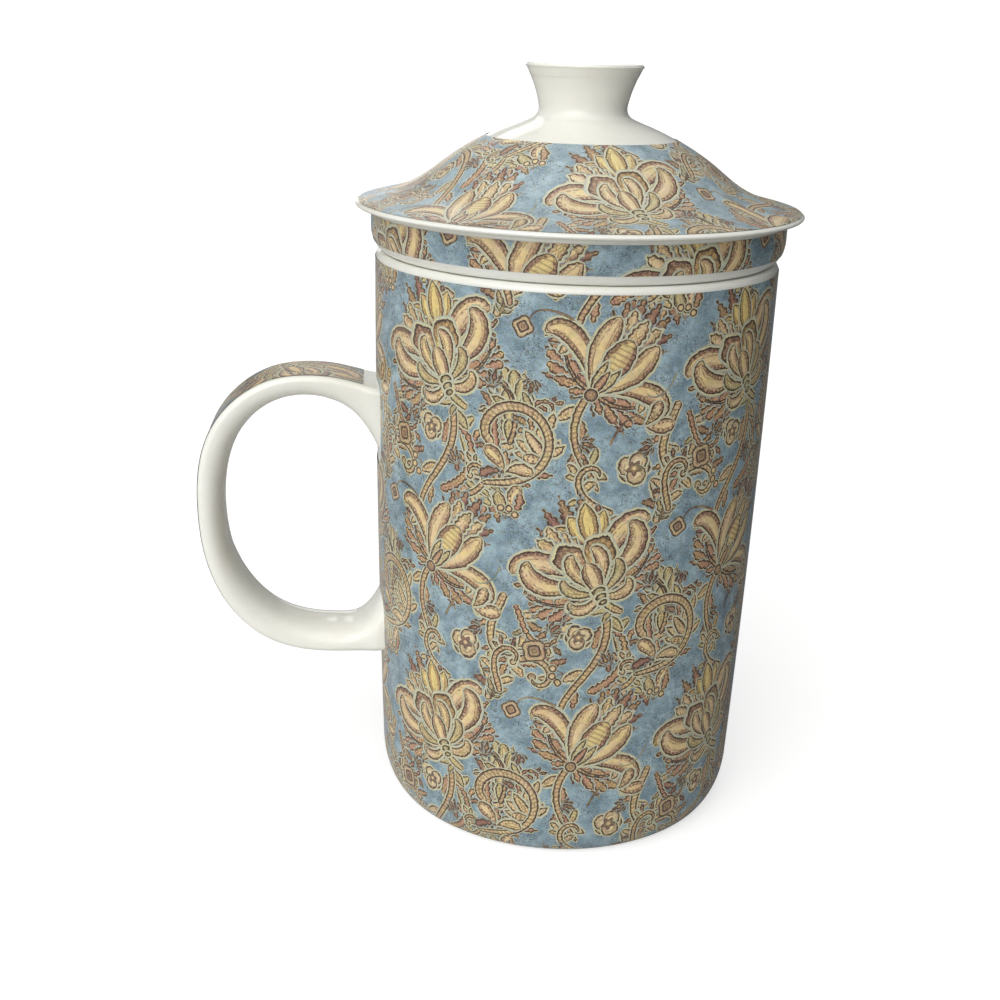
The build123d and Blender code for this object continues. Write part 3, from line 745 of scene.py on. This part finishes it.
def printed(name, sheet, box, fences, inside, place, material_, body, node, grid=2.2, rows=1, shift=(0.0, 0.0)):
    """A printed surface.  place(points) gives positions and normals in mm."""
    pts, tri, val, look, on = flatten(sheet, box, fences, inside, grid, rows, shift)
    pos, nrm = place(pts)
    me = bpy.data.meshes.new(name)
    me.vertices.add(len(pos))
    me.vertices.foreach_set("co", (pos * MM).astype(np.float32).ravel())
    me.loops.add(tri.size)
    me.loops.foreach_set("vertex_index", tri.astype(np.int32).ravel())
    me.polygons.add(len(tri))
    me.polygons.foreach_set("loop_start", np.arange(0, tri.size, 3, dtype=np.int32))
    me.polygons.foreach_set("loop_total", np.full(len(tri), 3, dtype=np.int32))
    me.update(calc_edges=True)
    me.validate()
    assert len(me.polygons) == len(tri), "a face was dropped"

    def corner(name_, data):
        at = me.attributes.new(name_, "FLOAT_VECTOR", "CORNER")
        at.data.foreach_set("vector", data.astype(np.float32).ravel())

    corner("ink", val.reshape(-1, 3))
    for name_, cols in (("core", (0, 1, 2)), ("edge", (3, 4, 5)), ("how", (6, 7, 8)), ("more", (9, 10, 11)), ("cut", (12, 13, 14))):
        corner(name_, np.repeat(look[:, None, cols], 3, 1).reshape(-1, 3))
    flat = np.zeros((len(tri), 3, 3))
    flat[:, :, :2] = pts[tri]
    corner("flat", flat.reshape(-1, 3))
    # the bake's map is the flat sheet itself, a long strip of it folded in rows
    uv = me.uv_layers.new(name="OFBake")
    w, h = (box[2] - box[0]) / rows, box[3] - box[1]
    row = np.floor((pts[tri].mean(1)[:, 0] - box[0]) / w).clip(0, rows - 1)[:, None]
    cu = (pts[tri][..., 0] - box[0]) / w - row
    cv = (pts[tri][..., 1] - box[1]) / h
    cu, cv = 0.004 + 0.992 * cu, (row + 0.012 + 0.976 * cv) / rows
    uv.uv.foreach_set("vector", np.stack([cu, cv], -1).astype(np.float32).ravel())
    me.polygons.foreach_set("use_smooth", np.ones(len(tri), bool))
    me.normals_split_custom_set_from_vertices([tuple(n) for n in nrm])
    me.materials.append(material_)
    o = bpy.data.objects.new(name, me)
    scene.collection.objects.link(o)
    if body:
        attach(o, body)
        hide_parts(node)
    print(name, "triangles", len(tri))
    return o


def transfer(name, flat_only=False, depth=1.19, rough=(0.09, 0.16), ground_=("6F8C9F", "B2CAD6")):
    """The print's material: a mottled grey-blue ground, and on it shapes with
    a broken dark outline, hatched edges and pale hearts, all under a glaze."""
    m, t, b = material(name)
    flat = t.attr("flat", "Vector")
    ink_ = t.node("ShaderNodeSeparateXYZ", values={"Vector": t.attr("ink", "Vector")})
    how = t.node("ShaderNodeSeparateXYZ", values={"Vector": t.attr("how", "Vector")})
    more = t.node("ShaderNodeSeparateXYZ", values={"Vector": t.attr("more", "Vector")})
    cut = t.node("ShaderNodeSeparateXYZ", values={"Vector": t.attr("cut", "Vector")})
    d, s, x = ink_.outputs
    hatch, line, veins = how.outputs
    dots, rope, on = more.outputs
    tooth, notch, rim = cut.outputs
    core, edge = t.attr("core", "Vector"), t.attr("edge", "Vector")
    mul = lambda *k: functools.reduce(lambda p, q: t.math("MULTIPLY", p, q), k)
    add = lambda *k: functools.reduce(lambda p, q: t.math("ADD", p, q), k)
    ax = t.math("ABSOLUTE", x)
    soft = t.noise(flat, 0.28, 3.0, 0.55)
    mid = t.noise(flat, 1.1, 3.0, 0.6)
    fine = t.noise(flat, 3.2, 2.0, 0.6)
    mid0 = t.math("SUBTRACT", mid, 0.5)
    # ground
    ground = t.mix(t.span(soft, 0.30, 0.70), lin(ground_[0]), lin(ground_[1]))
    ground = t.mix(mul(t.span(mid, 0.46, 0.70), 0.6), ground, lin("7B8B83"))
    ground = t.mix(mul(t.span(fine, 0.48, 0.78), 0.5), ground, lin("C6D0CA"))
    worm = t.noise(flat, 0.85, 1.5, 0.5, 1.6)
    thin = t.span(t.math("ABSOLUTE", t.math("SUBTRACT", worm, 0.5)), 0.010, 0.036, 1.0, 0.0)
    patch = t.span(t.noise(flat, 0.20, 1.0), 0.42, 0.50)
    ground = t.mix(mul(thin, patch, t.span(fine, 0.36, 0.46), 0.8), ground, lin("4A4E4C"))
    # the engraver's fine lines, which run through shapes too
    scratch = t.noise(flat, 1.15, 1.0, 0.5, 2.2)
    scratch = t.span(t.math("ABSOLUTE", t.math("SUBTRACT", scratch, 0.5)), 0.03, 0.075, 1.0, 0.0)
    # teeth are cut into the edge, and the whole edge wavers a little
    saw = t.math("FRACT", add(mul(s, 0.78), mul(mid0, 0.5)))
    saw = t.span(t.math("ABSOLUTE", t.math("SUBTRACT", saw, 0.62)), 0.0, 0.62)
    d = add(d, mul(tooth, saw, -1.0), mul(mid0, -0.35), 0.03)
    inner = t.math("SUBTRACT", d, rim)
    # fills: the heart of a shape is pale, and its edge takes on the darker tone
    deep = t.span(add(t.math("SUBTRACT", 1.0, ax), mul(mid0, 1.2), mul(soft, 0.3)), 0.36, 0.92, kind="SMOOTHSTEP")
    fill = t.mix(deep, edge, core)
    # one side of each shape lies in shade, and the very edge is darker still
    fill = t.mix(mul(t.span(add(x, mul(mid0, 1.0)), -0.75, 0.25, 1.0, 0.0), hatch, 0.48), fill, lin("98685D"))
    fill = t.mix(mul(t.span(add(ax, mul(mid0, 0.9)), 0.55, 1.0), hatch, 0.50), fill, lin("744A45"))
    fill = t.mix(mul(deep, t.span(soft, 0.40, 0.60), 0.45), fill, lin("F3DE93"))
    fill = t.mix(mul(t.span(fine, 0.45, 0.75), 0.25), fill, lin("C9A98C"))
    # here and there the paint turns rosy, and here and there green
    rosy = t.noise(flat, 0.42, 2.0, 0.6)
    fill = t.mix(mul(t.span(rosy, 0.54, 0.68), 0.30), fill, lin("C08C74"))
    fill = t.mix(mul(t.span(rosy, 0.34, 0.46, 1.0, 0.0), 0.30), fill, lin("B2AC7C"))
    # hatching runs slantwise in from the edge
    wave = t.math("SINE", mul(add(mul(s, 1.45), mul(ax, 1.1), mul(mid, 1.8)), 6.2832))
    reach = t.span(add(inner, mul(fine, 0.8)), 0.45, 1.35, 1.0, 0.0)
    fill = t.mix(mul(t.span(wave, 0.0, 0.6), reach, hatch, 0.9), fill, lin("503430"))
    shade = t.span(add(deep, mul(mid0, 0.8)), 0.15, 0.75, 1.0, 0.0)
    fill = t.mix(mul(scratch, shade, hatch, 0.85), fill, lin("4C332F"))
    # ropes go right across
    wave = t.math("SINE", mul(add(mul(s, 1.0526), mul(x, 0.45), mul(mid0, 0.5)), 6.2832))
    fill = t.mix(mul(t.span(wave, 0.1, 0.8), rope, 0.62), fill, lin("6E5342"))
    # veins run along the shape
    wave = t.math("SINE", add(mul(ax, 12.0), mul(mid0, 3.0), mul(s, 0.35)))
    fill = t.mix(mul(t.span(wave, 0.55, 0.9), t.span(mid, 0.42, 0.56), veins, 0.8), fill, lin("6E483E"))
    # and a second, thinner line inside the outline
    ring = t.math("ABSOLUTE", t.math("SUBTRACT", add(inner, mul(mid0, 0.9)), 0.85))
    fill = t.mix(mul(t.span(ring, 0.05, 0.14, 1.0, 0.0), t.span(soft, 0.42, 0.52), line, 0.7), fill, lin("7A5A46"))
    # dots along the margin of petals
    dot = mul(t.span(t.math("SINE", mul(s, 7.0)), -0.2, 0.5), t.span(t.math("ABSOLUTE", t.math("SUBTRACT", inner, 0.62)), 0.10, 0.24, 1.0, 0.0))
    fill = t.mix(mul(dot, dots, 0.8), fill, lin("6A463C"))
    # broken outline, and outside it a pale glow that melts into the ground
    width = add(0.20, mul(mid0, 0.5))
    out = mul(t.span(inner, width, add(width, 0.16), 1.0, 0.0), line, t.span(fine, 0.32, 0.50, 0.55, 1.0))
    fill = t.mix(mul(out, 0.98), fill, lin("402B27"))
    glow = t.mix(t.span(soft, 0.35, 0.65), lin("EADFAE"), lin("D8D2B2"))
    halo = t.mix(t.span(t.math("DIVIDE", add(d, mul(fine, 0.10)), t.math("MAXIMUM", rim, 0.05)), 0.05, 0.95, 0.25, 0.92), ground, glow)
    fill = t.mix(mul(t.span(add(inner, mul(mid0, -0.2)), -0.03, 0.03, 1.0, 0.0), t.span(rim, 0.04, 0.2)), fill, halo)
    # outside the teeth the ground shows, or the dark between two petals
    gap = t.mix(notch, ground, lin("6A5044"))
    fill = t.mix(t.span(d, -0.02, 0.04), gap, fill)
    colour = t.mix(on, ground, fill)
    # the screen's grain
    grain = t.noise(flat, 5.0, 2.0, 0.7)
    colour = t.mix(t.span(grain, 0.50, 0.72, 0.0, 0.42), colour, lin("62605C"))
    colour = t.mix(t.span(grain, 0.28, 0.48, 0.36, 0.0), colour, lin("C9C6AC"))
    tintn = t.noise(flat, 2.4, 2.0, 0.6, out=1)
    colour = t.mix(0.16, colour, tintn, kind="OVERLAY")
    # and the whole of it is printed a tone deeper, or paler where depth is under one, which on the lid is painted
    # light
    g = t.node("ShaderNodeGamma", values={"Color": colour})
    g.inputs["Gamma"].default_value = depth
    hs = t.node("ShaderNodeHueSaturation", values={"Color": g.outputs[0]})
    hs.inputs["Saturation"].default_value = 0.98
    colour = hs.outputs[0]
    if flat_only:
        em = t.node("ShaderNodeEmission", values={"Color": colour})
        out_ = next(n for n in t.t.nodes if n.type == "OUTPUT_MATERIAL")
        t.t.links.new(em.outputs[0], out_.inputs[0])
        return m
    t.put(b.inputs["Base Color"], colour)
    at = object_mm(t)
    t.put(b.inputs["Roughness"], t.span(t.noise(at, 0.11, 2.0, 0.5), 0.3, 0.75, *rough))
    b.inputs["IOR"].default_value = 1.52
    ripple = t.node("ShaderNodeBump", values={"Strength": 0.25, "Distance": 0.0001})
    t.put(ripple.inputs["Height"], t.noise(at, 0.12, 2.0, 0.5))
    t.put(b.inputs["Normal"], ripple.outputs[0])
    return m

ART_SHIFT = (4.0, 62.0)
COLLAR_SHIFT = (20.0, 112.0)
LID_SHIFT = (3.0, -30.0)
STRAP_SHIFT = (12.0, 3.0)


# ------------------------------------------------------- curves of the object
class Curve:
    """A half section in the plane of radius and height, in mm, with its
    arc length and the normals on one side of it."""

    def __init__(self, points, side):
        self.p = np.asarray(points, float)
        d = np.gradient(self.p, axis=0)
        d /= np.hypot(d[:, 0], d[:, 1])[:, None]
        self.n = np.stack([-d[:, 1], d[:, 0]], 1) * side
        self.s = np.concatenate([[0], np.cumsum(np.hypot(*np.diff(self.p, axis=0).T))])

    def at(self, s, lift=0.0):
        r, z = (np.interp(s, self.s, self.p[:, i]) for i in (0, 1))
        nr, nz = (np.interp(s, self.s, self.n[:, i]) for i in (0, 1))
        k = np.hypot(nr, nz)
        nr, nz = nr / k, nz / k
        return r + nr * lift, z + nz * lift, nr, nz


def bezier(c, n=24):
    t = np.linspace(0, 1, n + 1)[:, None]
    c = [np.array(p, float) for p in c]
    return (1 - t) ** 3 * c[0] + 3 * t * (1 - t) ** 2 * c[1] + 3 * t * t * (1 - t) * c[2] + t**3 * c[3]


def smooth_line(points, start=None, end=None, n=600):
    """A cubic spline through the points, natural or with given end directions."""
    p = np.array(points, float)
    t = np.concatenate([[0], np.cumsum(np.hypot(*np.diff(p, axis=0).T))])
    h, m = np.diff(t), len(p)
    a, b = np.zeros((m, m)), np.zeros((m, 2))
    for i in range(1, m - 1):
        a[i, i - 1 : i + 2] = h[i - 1], 2 * (h[i - 1] + h[i]), h[i]
        b[i] = 6 * ((p[i + 1] - p[i]) / h[i] - (p[i] - p[i - 1]) / h[i - 1])
    a[0, 0] = a[-1, -1] = 1
    if start is not None:
        d0, d1 = (np.array(v, float) / math.hypot(*v) for v in (start, end))
        a[0, :2], b[0] = (2 * h[0], h[0]), 6 * ((p[1] - p[0]) / h[0] - d0)
        a[-1, -2:], b[-1] = (h[-1], 2 * h[-1]), 6 * (d1 - (p[-1] - p[-2]) / h[-1])
    c = np.linalg.solve(a, b)
    out = []
    for x in np.linspace(0, t[-1], n + 1):
        i = min(m - 2, int(np.searchsorted(t, x, side="right")) - 1)
        u, v = (t[i + 1] - x) / h[i], (x - t[i]) / h[i]
        out.append(u * p[i] + v * p[i + 1] + ((u**3 - u) * c[i] + (v**3 - v) * c[i + 1]) * h[i] ** 2 / 6)
    return np.array(out)


def mug_r(z):
    return 38.0 * (1 - 0.0513 * ((111.0 - z) / 111.0) ** 2)


KAPPA = 0.5523
wall_r = mug_r(9.0)
foot = bezier([(wall_r - 4.6, 0), (wall_r - 4.6 + 4.6 * KAPPA, 0), (wall_r - 0.0323 * 9 * KAPPA, 9 * (1 - KAPPA)), (wall_r, 9)], 80)
foot = foot[foot[:, 1] >= 1.3]
zs = np.linspace(9.6, 109.8, 200)
MUG_LINE = Curve(np.concatenate([foot, np.stack([mug_r(zs), zs], 1)]), -1)
collar = bezier([(36, 111), (36 + 2.8 * KAPPA, 111), (38.8, 115.4 - 4.4 * KAPPA), (38.8, 115.4)], 60)
collar = collar[collar[:, 1] >= 112.9]
COLLAR_LINE = Curve(np.concatenate([collar, [(38.8, z) for z in np.linspace(115.6, 118.1, 14)]]), -1)
LID_LINE = Curve(smooth_line([(17.7, 132.0), (21, 130.2), (24.4, 128), (27.6, 125.55), (30.6, 123.55), (33.6, 122.15), (37, 121.15), (39.3, 120.6), (41.2, 120.08)],
                             (1, -0.5), (1, -0.36), 300), 1)
STRAP = smooth_line([(34.6, 84.75), (40.3, 86.15), (46.2, 87.5), (52.0, 87.8), (57.8, 86.9), (63.1, 84.2), (67.6, 79.9), (70.7, 74.2), (72.2, 67.3),
                     (72.4, 60.0), (71.7, 52.6), (69.7, 45.6), (65.9, 39.0), (60.4, 34.0), (53.2, 31.3), (44.6, 30.6), (34.6, 30.8)])
STRAP_LINE = Curve(STRAP[STRAP[:, 0] >= 40.3], 1)

LIFT = 0.12                            # the print's face over the clay
FRONT = math.radians(-98.0)            # where the drawing's own zero falls on the mug


def round_the_axis(curve, radius, top, start=0.0):
    """The flat sheet wound round the axis, with its height kept at the top."""
    length = curve.s[-1]

    def place(p):
        r, z, nr, nz = curve.at(length - (top - p[:, 1]), LIFT)
        a = start + p[:, 0] / radius
        c, s = np.cos(a), np.sin(a)
        return np.stack([r * c, r * s, z], 1), np.stack([nr * c, nr * s, nz], 1)

    return place


def pane(z0, z1, y, r=3.0):
    """A rounded opening at the handle, as a ring of points on the flat sheet."""
    out = []
    for cx, cz, a0 in ((y - r, z1 - r, 0), (r - y, z1 - r, 90), (r - y, z0 + r, 180), (y - r, z0 + r, 270)):
        for k in range(9):
            a = math.radians(a0 + 90 * k / 8)
            out.append((cx + r * math.cos(a), cz + r * math.sin(a)))
    turn = (math.pi - FRONT) * 38.0 - 2 * math.pi * 38.0
    return [(turn + 38.0 * math.asin(yy / mug_r(zz)), zz + sheet_drop(zz)) for yy, zz in out]


def sheet_drop(z):
    """How far the flat sheet's height differs from the real height."""
    length = MUG_LINE.s[-1]
    return 109.8 - (length - float(np.interp(z, MUG_LINE.p[:, 1], MUG_LINE.s))) - z


def in_ring(c, ring):
    hit = np.zeros(len(c), bool)
    for (xa, ya), (xb, yb) in zip(ring, ring[1:] + ring[:1]):
        cross = (ya > c[:, 1]) != (yb > c[:, 1])
        with np.errstate(divide="ignore", invalid="ignore"):
            hit ^= cross & (c[:, 0] < (xb - xa) * (c[:, 1] - ya) / (yb - ya) + xa)
    return hit


def circle(r, n):
    return [(r * math.cos(2 * math.pi * k / n), r * math.sin(2 * math.pi * k / n)) for k in range(n)]


everywhere = lambda c: np.ones(len(c), bool)

drawing = Sheet()
cell_drawing(drawing)
trim(drawing)
print_ink = transfer("transfer_print")

# the mug's transfer, in three upright thirds of one continuous drawing
windows = [pane(70.2, 86.6, 7.6), pane(30.2, 42.8, 7.6)]
third = 2 * math.pi * 38.0 / 3
low = 109.8 - MUG_LINE.s[-1]
wall_place = round_the_axis(MUG_LINE, 38.0, 109.8, FRONT)
for i, name in enumerate(("mug_print_left", "mug_print_front", "mug_print_right")):
    x0 = -99.5 + i * third
    has = i == 0
    printed(name, drawing, (x0, low, x0 + third, 109.8), windows if has else [],
            (lambda c: ~(in_ring(c, windows[0]) | in_ring(c, windows[1]))) if has else everywhere,
            wall_place, print_ink, "mug", "mug_print", shift=ART_SHIFT)

# the collar's, a narrow band of the same drawing
around = 2 * math.pi * 38.0
printed("collar_print_band", drawing, (0.0, 118.1 - COLLAR_LINE.s[-1], around, 118.1), [], everywhere,
        round_the_axis(COLLAR_LINE, 38.0, 118.1, FRONT), print_ink, "infuser", "collar_print", rows=6, grid=1.9, shift=COLLAR_SHIFT)


# the lid's, cut as a flat ring and laid over the slope
def over_the_slope(p):
    rho = np.hypot(p[:, 0], p[:, 1])
    r, z, nr, nz = LID_LINE.at(rho - 17.7, LIFT)
    c, s = p[:, 0] / rho, p[:, 1] / rho
    return np.stack([r * c, r * s, z], 1), np.stack([nr * c, nr * s, nz], 1)


outer_ring = 17.7 + LID_LINE.s[-1]
hole, brim = circle(17.7, 120), circle(outer_ring, 300)
lid_ink_painted_paler = transfer("transfer_print_lid", depth=0.90, rough=(0.24, 0.34))        # painted paler than the mug's print: painted light from above and painted sheen on the slope
printed("lid_print_slope", drawing, (-outer_ring - 0.5, -outer_ring - 0.5, outer_ring + 0.5, outer_ring + 0.5), [hole, brim],
        lambda c: in_ring(c, brim) & ~in_ring(c, hole), over_the_slope, lid_ink_painted_paler, "lid", "lid_print", shift=LID_SHIFT)


# the handle's, a strip along the back of the strap
def along_the_strap(p):
    r, z, nr, nz = STRAP_LINE.at(p[:, 0], LIFT)
    zero = np.zeros(len(p))
    return np.stack([-r, -p[:, 1], z], 1), np.stack([-nr, zero, nz], 1)


strap_ink = transfer("transfer_print_strap", depth=1.38, ground_=("67747E", "A5B2B6"))   # and here a little greyer
printed("handle_print_strip", drawing, (0.0, -5.7, STRAP_LINE.s[-1], 5.7), [], everywhere, along_the_strap, strap_ink,
        "mug", "handle_print", rows=3, grid=1.8, shift=STRAP_SHIFT)

# ------------------------------------------------------------ bare porcelain
INNER = smooth_line([(34.6, 62.5), (35.6, 66.8), (37.0, 71.2), (38.9, 75.6), (41.6, 79.7), (46.2, 82.9),
                     (51.6, 84.0), (56.9, 83.1), (61.4, 80.4), (65.0, 75.9), (67.4, 70.0), (68.5, 63.2),
                     (68.4, 56.2), (67.1, 49.2), (64.2, 42.7), (59.6, 37.7), (53.6, 35.0), (46.6, 34.3),
                     (42.4, 35.2), (39.4, 37.8), (37.1, 41.9), (35.6, 46.0), (34.6, 50.5)])
PAIRS = [((34.6, 84.75), (34.6, 62.5)), ((40.3, 86.15), (38.9, 75.6)), ((46.2, 87.5), (44.6, 82.2)), ((51.9, 87.8), (51.6, 84.0)),
         ((58.8, 86.6), (56.9, 83.1)), ((64.2, 83.4), (61.4, 80.4)), ((68.4, 78.8), (65.0, 75.9)), ((71.3, 72.0), (67.4, 70.0)),
         ((72.35, 63.5), (68.5, 63.2)), ((72.2, 55.8), (68.4, 56.2)), ((70.8, 48.2), (67.1, 49.2)), ((67.4, 41.1), (64.2, 42.7)),
         ((61.9, 35.0), (59.6, 37.7)), ((54.4, 31.6), (53.6, 35.0)), ((46.8, 30.7), (46.6, 34.3)), ((41.9, 30.6), (42.4, 35.2)),
         ((38.6, 30.7), (38.2, 39.6)), ((34.6, 30.8), (34.6, 50.5))]


def strap_mesh():
    """The handle as one skin of cross sections: flat outside with rounded
    edges, and drawn in to a soft curve inside, as a cast strap is."""
    def place(line, p):
        return float(np.argmin(np.hypot(line[:, 0] - p[0], line[:, 1] - p[1])))

    io = np.array([place(STRAP, a) for a, _ in PAIRS])
    ii = np.array([place(INNER, b) for _, b in PAIRS])
    n = 200
    at = np.linspace(0, len(PAIRS) - 1, n)
    # eased through the pairs, so that the sections fan out evenly
    so, si = (smooth_line(np.stack([np.arange(len(v)) * 10.0, v * 0.3], 1))[:, 1] / 0.3 for v in (io, ii))
    so, si = (np.maximum.accumulate(np.interp(at, np.linspace(0, len(PAIRS) - 1, len(v)), v)) for v in (so, si))
    far = np.arange(len(STRAP), dtype=float)
    o = np.stack([np.interp(so, far, STRAP[:, k]) for k in (0, 1)], 1)
    inn = np.stack([np.interp(si, far, INNER[:, k]) for k in (0, 1)], 1)
    thick = np.hypot(*(inn - o).T)
    along = (inn - o) / thick[:, None]
    rows = []
    m = 64
    for k in range(n):
        # a little fuller than the plain strap, away from its roots
        free = min(1.0, max(0.0, (o[k, 0] + inn[k, 0]) / 2 - 42.0) / 8.0)
        above, below = min(1.0, max(0.0, (o[k, 1] - 75.0) / 10.0)), min(1.0, max(0.0, (50.0 - o[k, 1]) / 12.0))
        t_ = thick[k] * (1.0 + 0.06 * free) + free * (0.55 + 0.55 * above + 1.15 * below)
        reach = o[k, 0] + (inn[k, 0] - o[k, 0]) * 0.5
        half = 7.1 + 0.40 * max(0.0, 1.0 - max(0.0, reach - 37.5) / 4.0) ** 2
        sec = []
        flat_, edge_ = half - 1.4, 1.4
        for j in range(m):
            a = 2 * math.pi * j / m
            c, s_ = math.cos(a), math.sin(a)
            if s_ >= 0:          # outer side: a rounded corner, then flat
                q = abs(c) ** 0.42 * (1 if c > 0 else -1)
                y = half * q
                e = max(0.0, abs(y) - flat_)
                d = edge_ - math.sqrt(max(0.0, edge_**2 - e * e))
            else:                # inner side: a broad soft curve
                deep = t_ - 1.4
                y = half * abs(c) ** 0.86 * (1 if c > 0 else -1)
                d = 1.4 + deep * (1 - min(1.0, abs(y) / half) ** 2.7) ** (1 / 2.1)
            sec.append((y, d))
        rows.append([(o[k, 0] + along[k, 0] * d, y, o[k, 1] + along[k, 1] * d) for y, d in sec])
    p = np.array(rows)
    # what would come through the wall is kept within it
    p[..., 0] *= -1
    rad = np.hypot(p[..., 0], p[..., 1])
    pull = np.maximum(1.0, 36.3 / np.maximum(rad, 1e-6))
    p[..., 0] *= pull
    p[..., 1] *= pull
    faces = []
    for k in range(n - 1):
        for j in range(m):
            a, b = k * m + j, k * m + (j + 1) % m
            faces.append((a, a + m, b + m, b))
    faces.append(tuple(range(m)))
    faces.append(tuple((n - 1) * m + j for j in reversed(range(m))))
    me = bpy.data.meshes.new("handle_strap")
    me.from_pydata([tuple(x) for x in p.reshape(-1, 3) * MM], [], faces)
    me.validate()
    me.update()
    bm = bmesh.new()
    bm.from_mesh(me)
    bmesh.ops.recalc_face_normals(bm, faces=bm.faces)
    bm.to_mesh(me)
    bm.free()
    me.polygons.foreach_set("use_smooth", np.ones(len(me.polygons), bool))
    o_ = bpy.data.objects.new("handle_strap", me)
    scene.collection.objects.link(o_)
    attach(o_, "mug")
    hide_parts("mug_handle")
    return o_


strap_piece = strap_mesh()
white = porcelain("porcelain_glazed", "F2F3ED", "ECEBE1", 0.07)
strap_piece.data.materials.append(white)
for name in ("mug_body", "infuser", "lid_shell", "lid_knob"):
    o = bpy.data.objects[name]
    for s in o.material_slots:
        s.material = white


# ------------------------------------------------------------ light and camera
def build_stage():
    # A wide pale table.  What it throws back on the object is kept lower than
    # what is seen of it, as a grey card under the object would do.
    me = bpy.data.meshes.new("table_top")
    me.from_pydata([(-6, -6, 0), (6, -6, 0), (6, 6, 0), (-6, 6, 0)], [], [(0, 1, 2, 3)])
    table = bpy.data.objects.new("table_top", me)
    scene.collection.objects.link(table)
    m, t, b = material("table_white")
    at = object_mm(t)
    path = t.node("ShaderNodeLightPath")
    seen = t.mix(t.span(t.noise(at, 0.01, 2.0), 0.3, 0.7), (0.62, 0.62, 0.62), (0.59, 0.59, 0.595))
    # The light it throws back is strongest before the object, like a white card
    # laid there, and weakest on its right, like a dark one.
    g = t.node("ShaderNodeNewGeometry").outputs["Position"]
    p = t.node("ShaderNodeSeparateXYZ", values={"Vector": g})
    ax, ay = math.cos(math.radians(CARD_AZ)), math.sin(math.radians(CARD_AZ))
    along = t.math("ADD", t.math("MULTIPLY", p.outputs[0], ax), t.math("MULTIPLY", p.outputs[1], ay))
    far = t.node("ShaderNodeVectorMath", operation="LENGTH")
    t.put(far.inputs[0], g)
    side = t.math("DIVIDE", along, t.math("ADD", far.outputs["Value"], 0.03))
    bounce = t.math("ADD", CARD_MEAN, t.math("MULTIPLY", side, CARD_SWING))
    card = t.node("ShaderNodeCombineColor")
    for i in range(3):
        t.put(card.inputs[i], bounce)
    t.put(b.inputs["Base Color"], t.mix(path.outputs["Is Camera Ray"], card.outputs[0], seen))
    b.inputs["Roughness"].default_value = 0.9
    b.inputs["Specular IOR Level"].default_value = 0.1
    # lit from below as well, as a shooting table is, which the object doesn't feel
    b.inputs["Emission Color"].default_value = (1.0, 1.0, 1.0, 1.0)
    t.put(b.inputs["Emission Strength"], t.math("MULTIPLY", path.outputs["Is Camera Ray"], TABLE_GLOW))
    me.materials.append(m)

    world = bpy.data.worlds.new("studio")
    scene.world = world
    world.use_nodes = True
    world.node_tree.nodes.clear()
    t = Tree(world.node_tree)
    out = t.node("ShaderNodeOutputWorld")
    back = t.node("ShaderNodeBackground")
    world.node_tree.links.new(back.outputs[0], out.inputs[0])
    d = t.node("ShaderNodeTexCoord").outputs["Generated"]

    def lobe(az, el, low, high, amount):
        """Light that grows softly towards one direction."""
        a, e = math.radians(az), math.radians(el)
        v = t.node("ShaderNodeVectorMath", operation="DOT_PRODUCT")
        t.put(v.inputs[0], d)
        v.inputs[1].default_value = (math.cos(a) * math.cos(e), math.sin(a) * math.cos(e), math.sin(e))
        return t.math("MULTIPLY", t.span(v.outputs["Value"], low, high, kind="SMOOTHSTEP"), amount)

    total = t.math("ADD", LIGHT_BASE, lobe(*KEY_LOBE))
    for more in (SOFT_LOBE, BACK_LOBE, BACK_SPOT, FILL_LOBE):
        total = t.math("ADD", total, lobe(*more))
    # What is seen past the table's far edge is as pale as the table.
    path = t.node("ShaderNodeLightPath")
    back.inputs["Color"].default_value = (1.0, 0.995, 0.985, 1.0)
    t.put(back.inputs["Strength"], t.mixf(path.outputs["Is Camera Ray"], total, 1.05))


LIGHT_BASE = 0.03
KEY_LOBE = (-119.0, 25.0, 0.80, 0.985, 2.35)
SOFT_LOBE = (-120.0, 62.0, 0.68, 0.95, 1.86)
BACK_LOBE = (90.0, 2.0, 0.965, 0.995, 1.15)
BACK_SPOT = (97.0, 29.0, 0.9900, 0.9980, 1.4)
FILL_LOBE = (110.0, 36.0, 0.30, 0.95, 0.26)
CARD_AZ, CARD_MEAN, CARD_SWING = -150.0, 0.49, 0.40
TABLE_GLOW = 0.60


def build_camera():
    cam = bpy.data.cameras.new("camera")
    cam.sensor_width, cam.lens = 36.0, 48.08
    cam.clip_start, cam.clip_end = 0.01, 50.0
    o = bpy.data.objects.new("camera", cam)
    scene.collection.objects.link(o)
    yaw, pitch, roll = 0.0979, 0.3381, 0.0304
    fw = Vector((math.sin(yaw) * math.cos(pitch), math.cos(yaw) * math.cos(pitch), -math.sin(pitch)))
    rt = Vector((math.cos(yaw), -math.sin(yaw), 0.0))
    up = rt.cross(fw)
    x = rt * math.cos(roll) + up * math.sin(roll)
    y = up * math.cos(roll) - rt * math.sin(roll)
    m = Matrix((x, y, -fw)).transposed().to_4x4()
    m.translation = Vector((-0.0380, -0.2533, 0.1503))
    o.matrix_world = m
    scene.camera = o


build_stage()
build_camera()
scene.view_settings.view_transform = "Standard"
scene.view_settings.look = "None"
scene.cycles.use_denoising = True
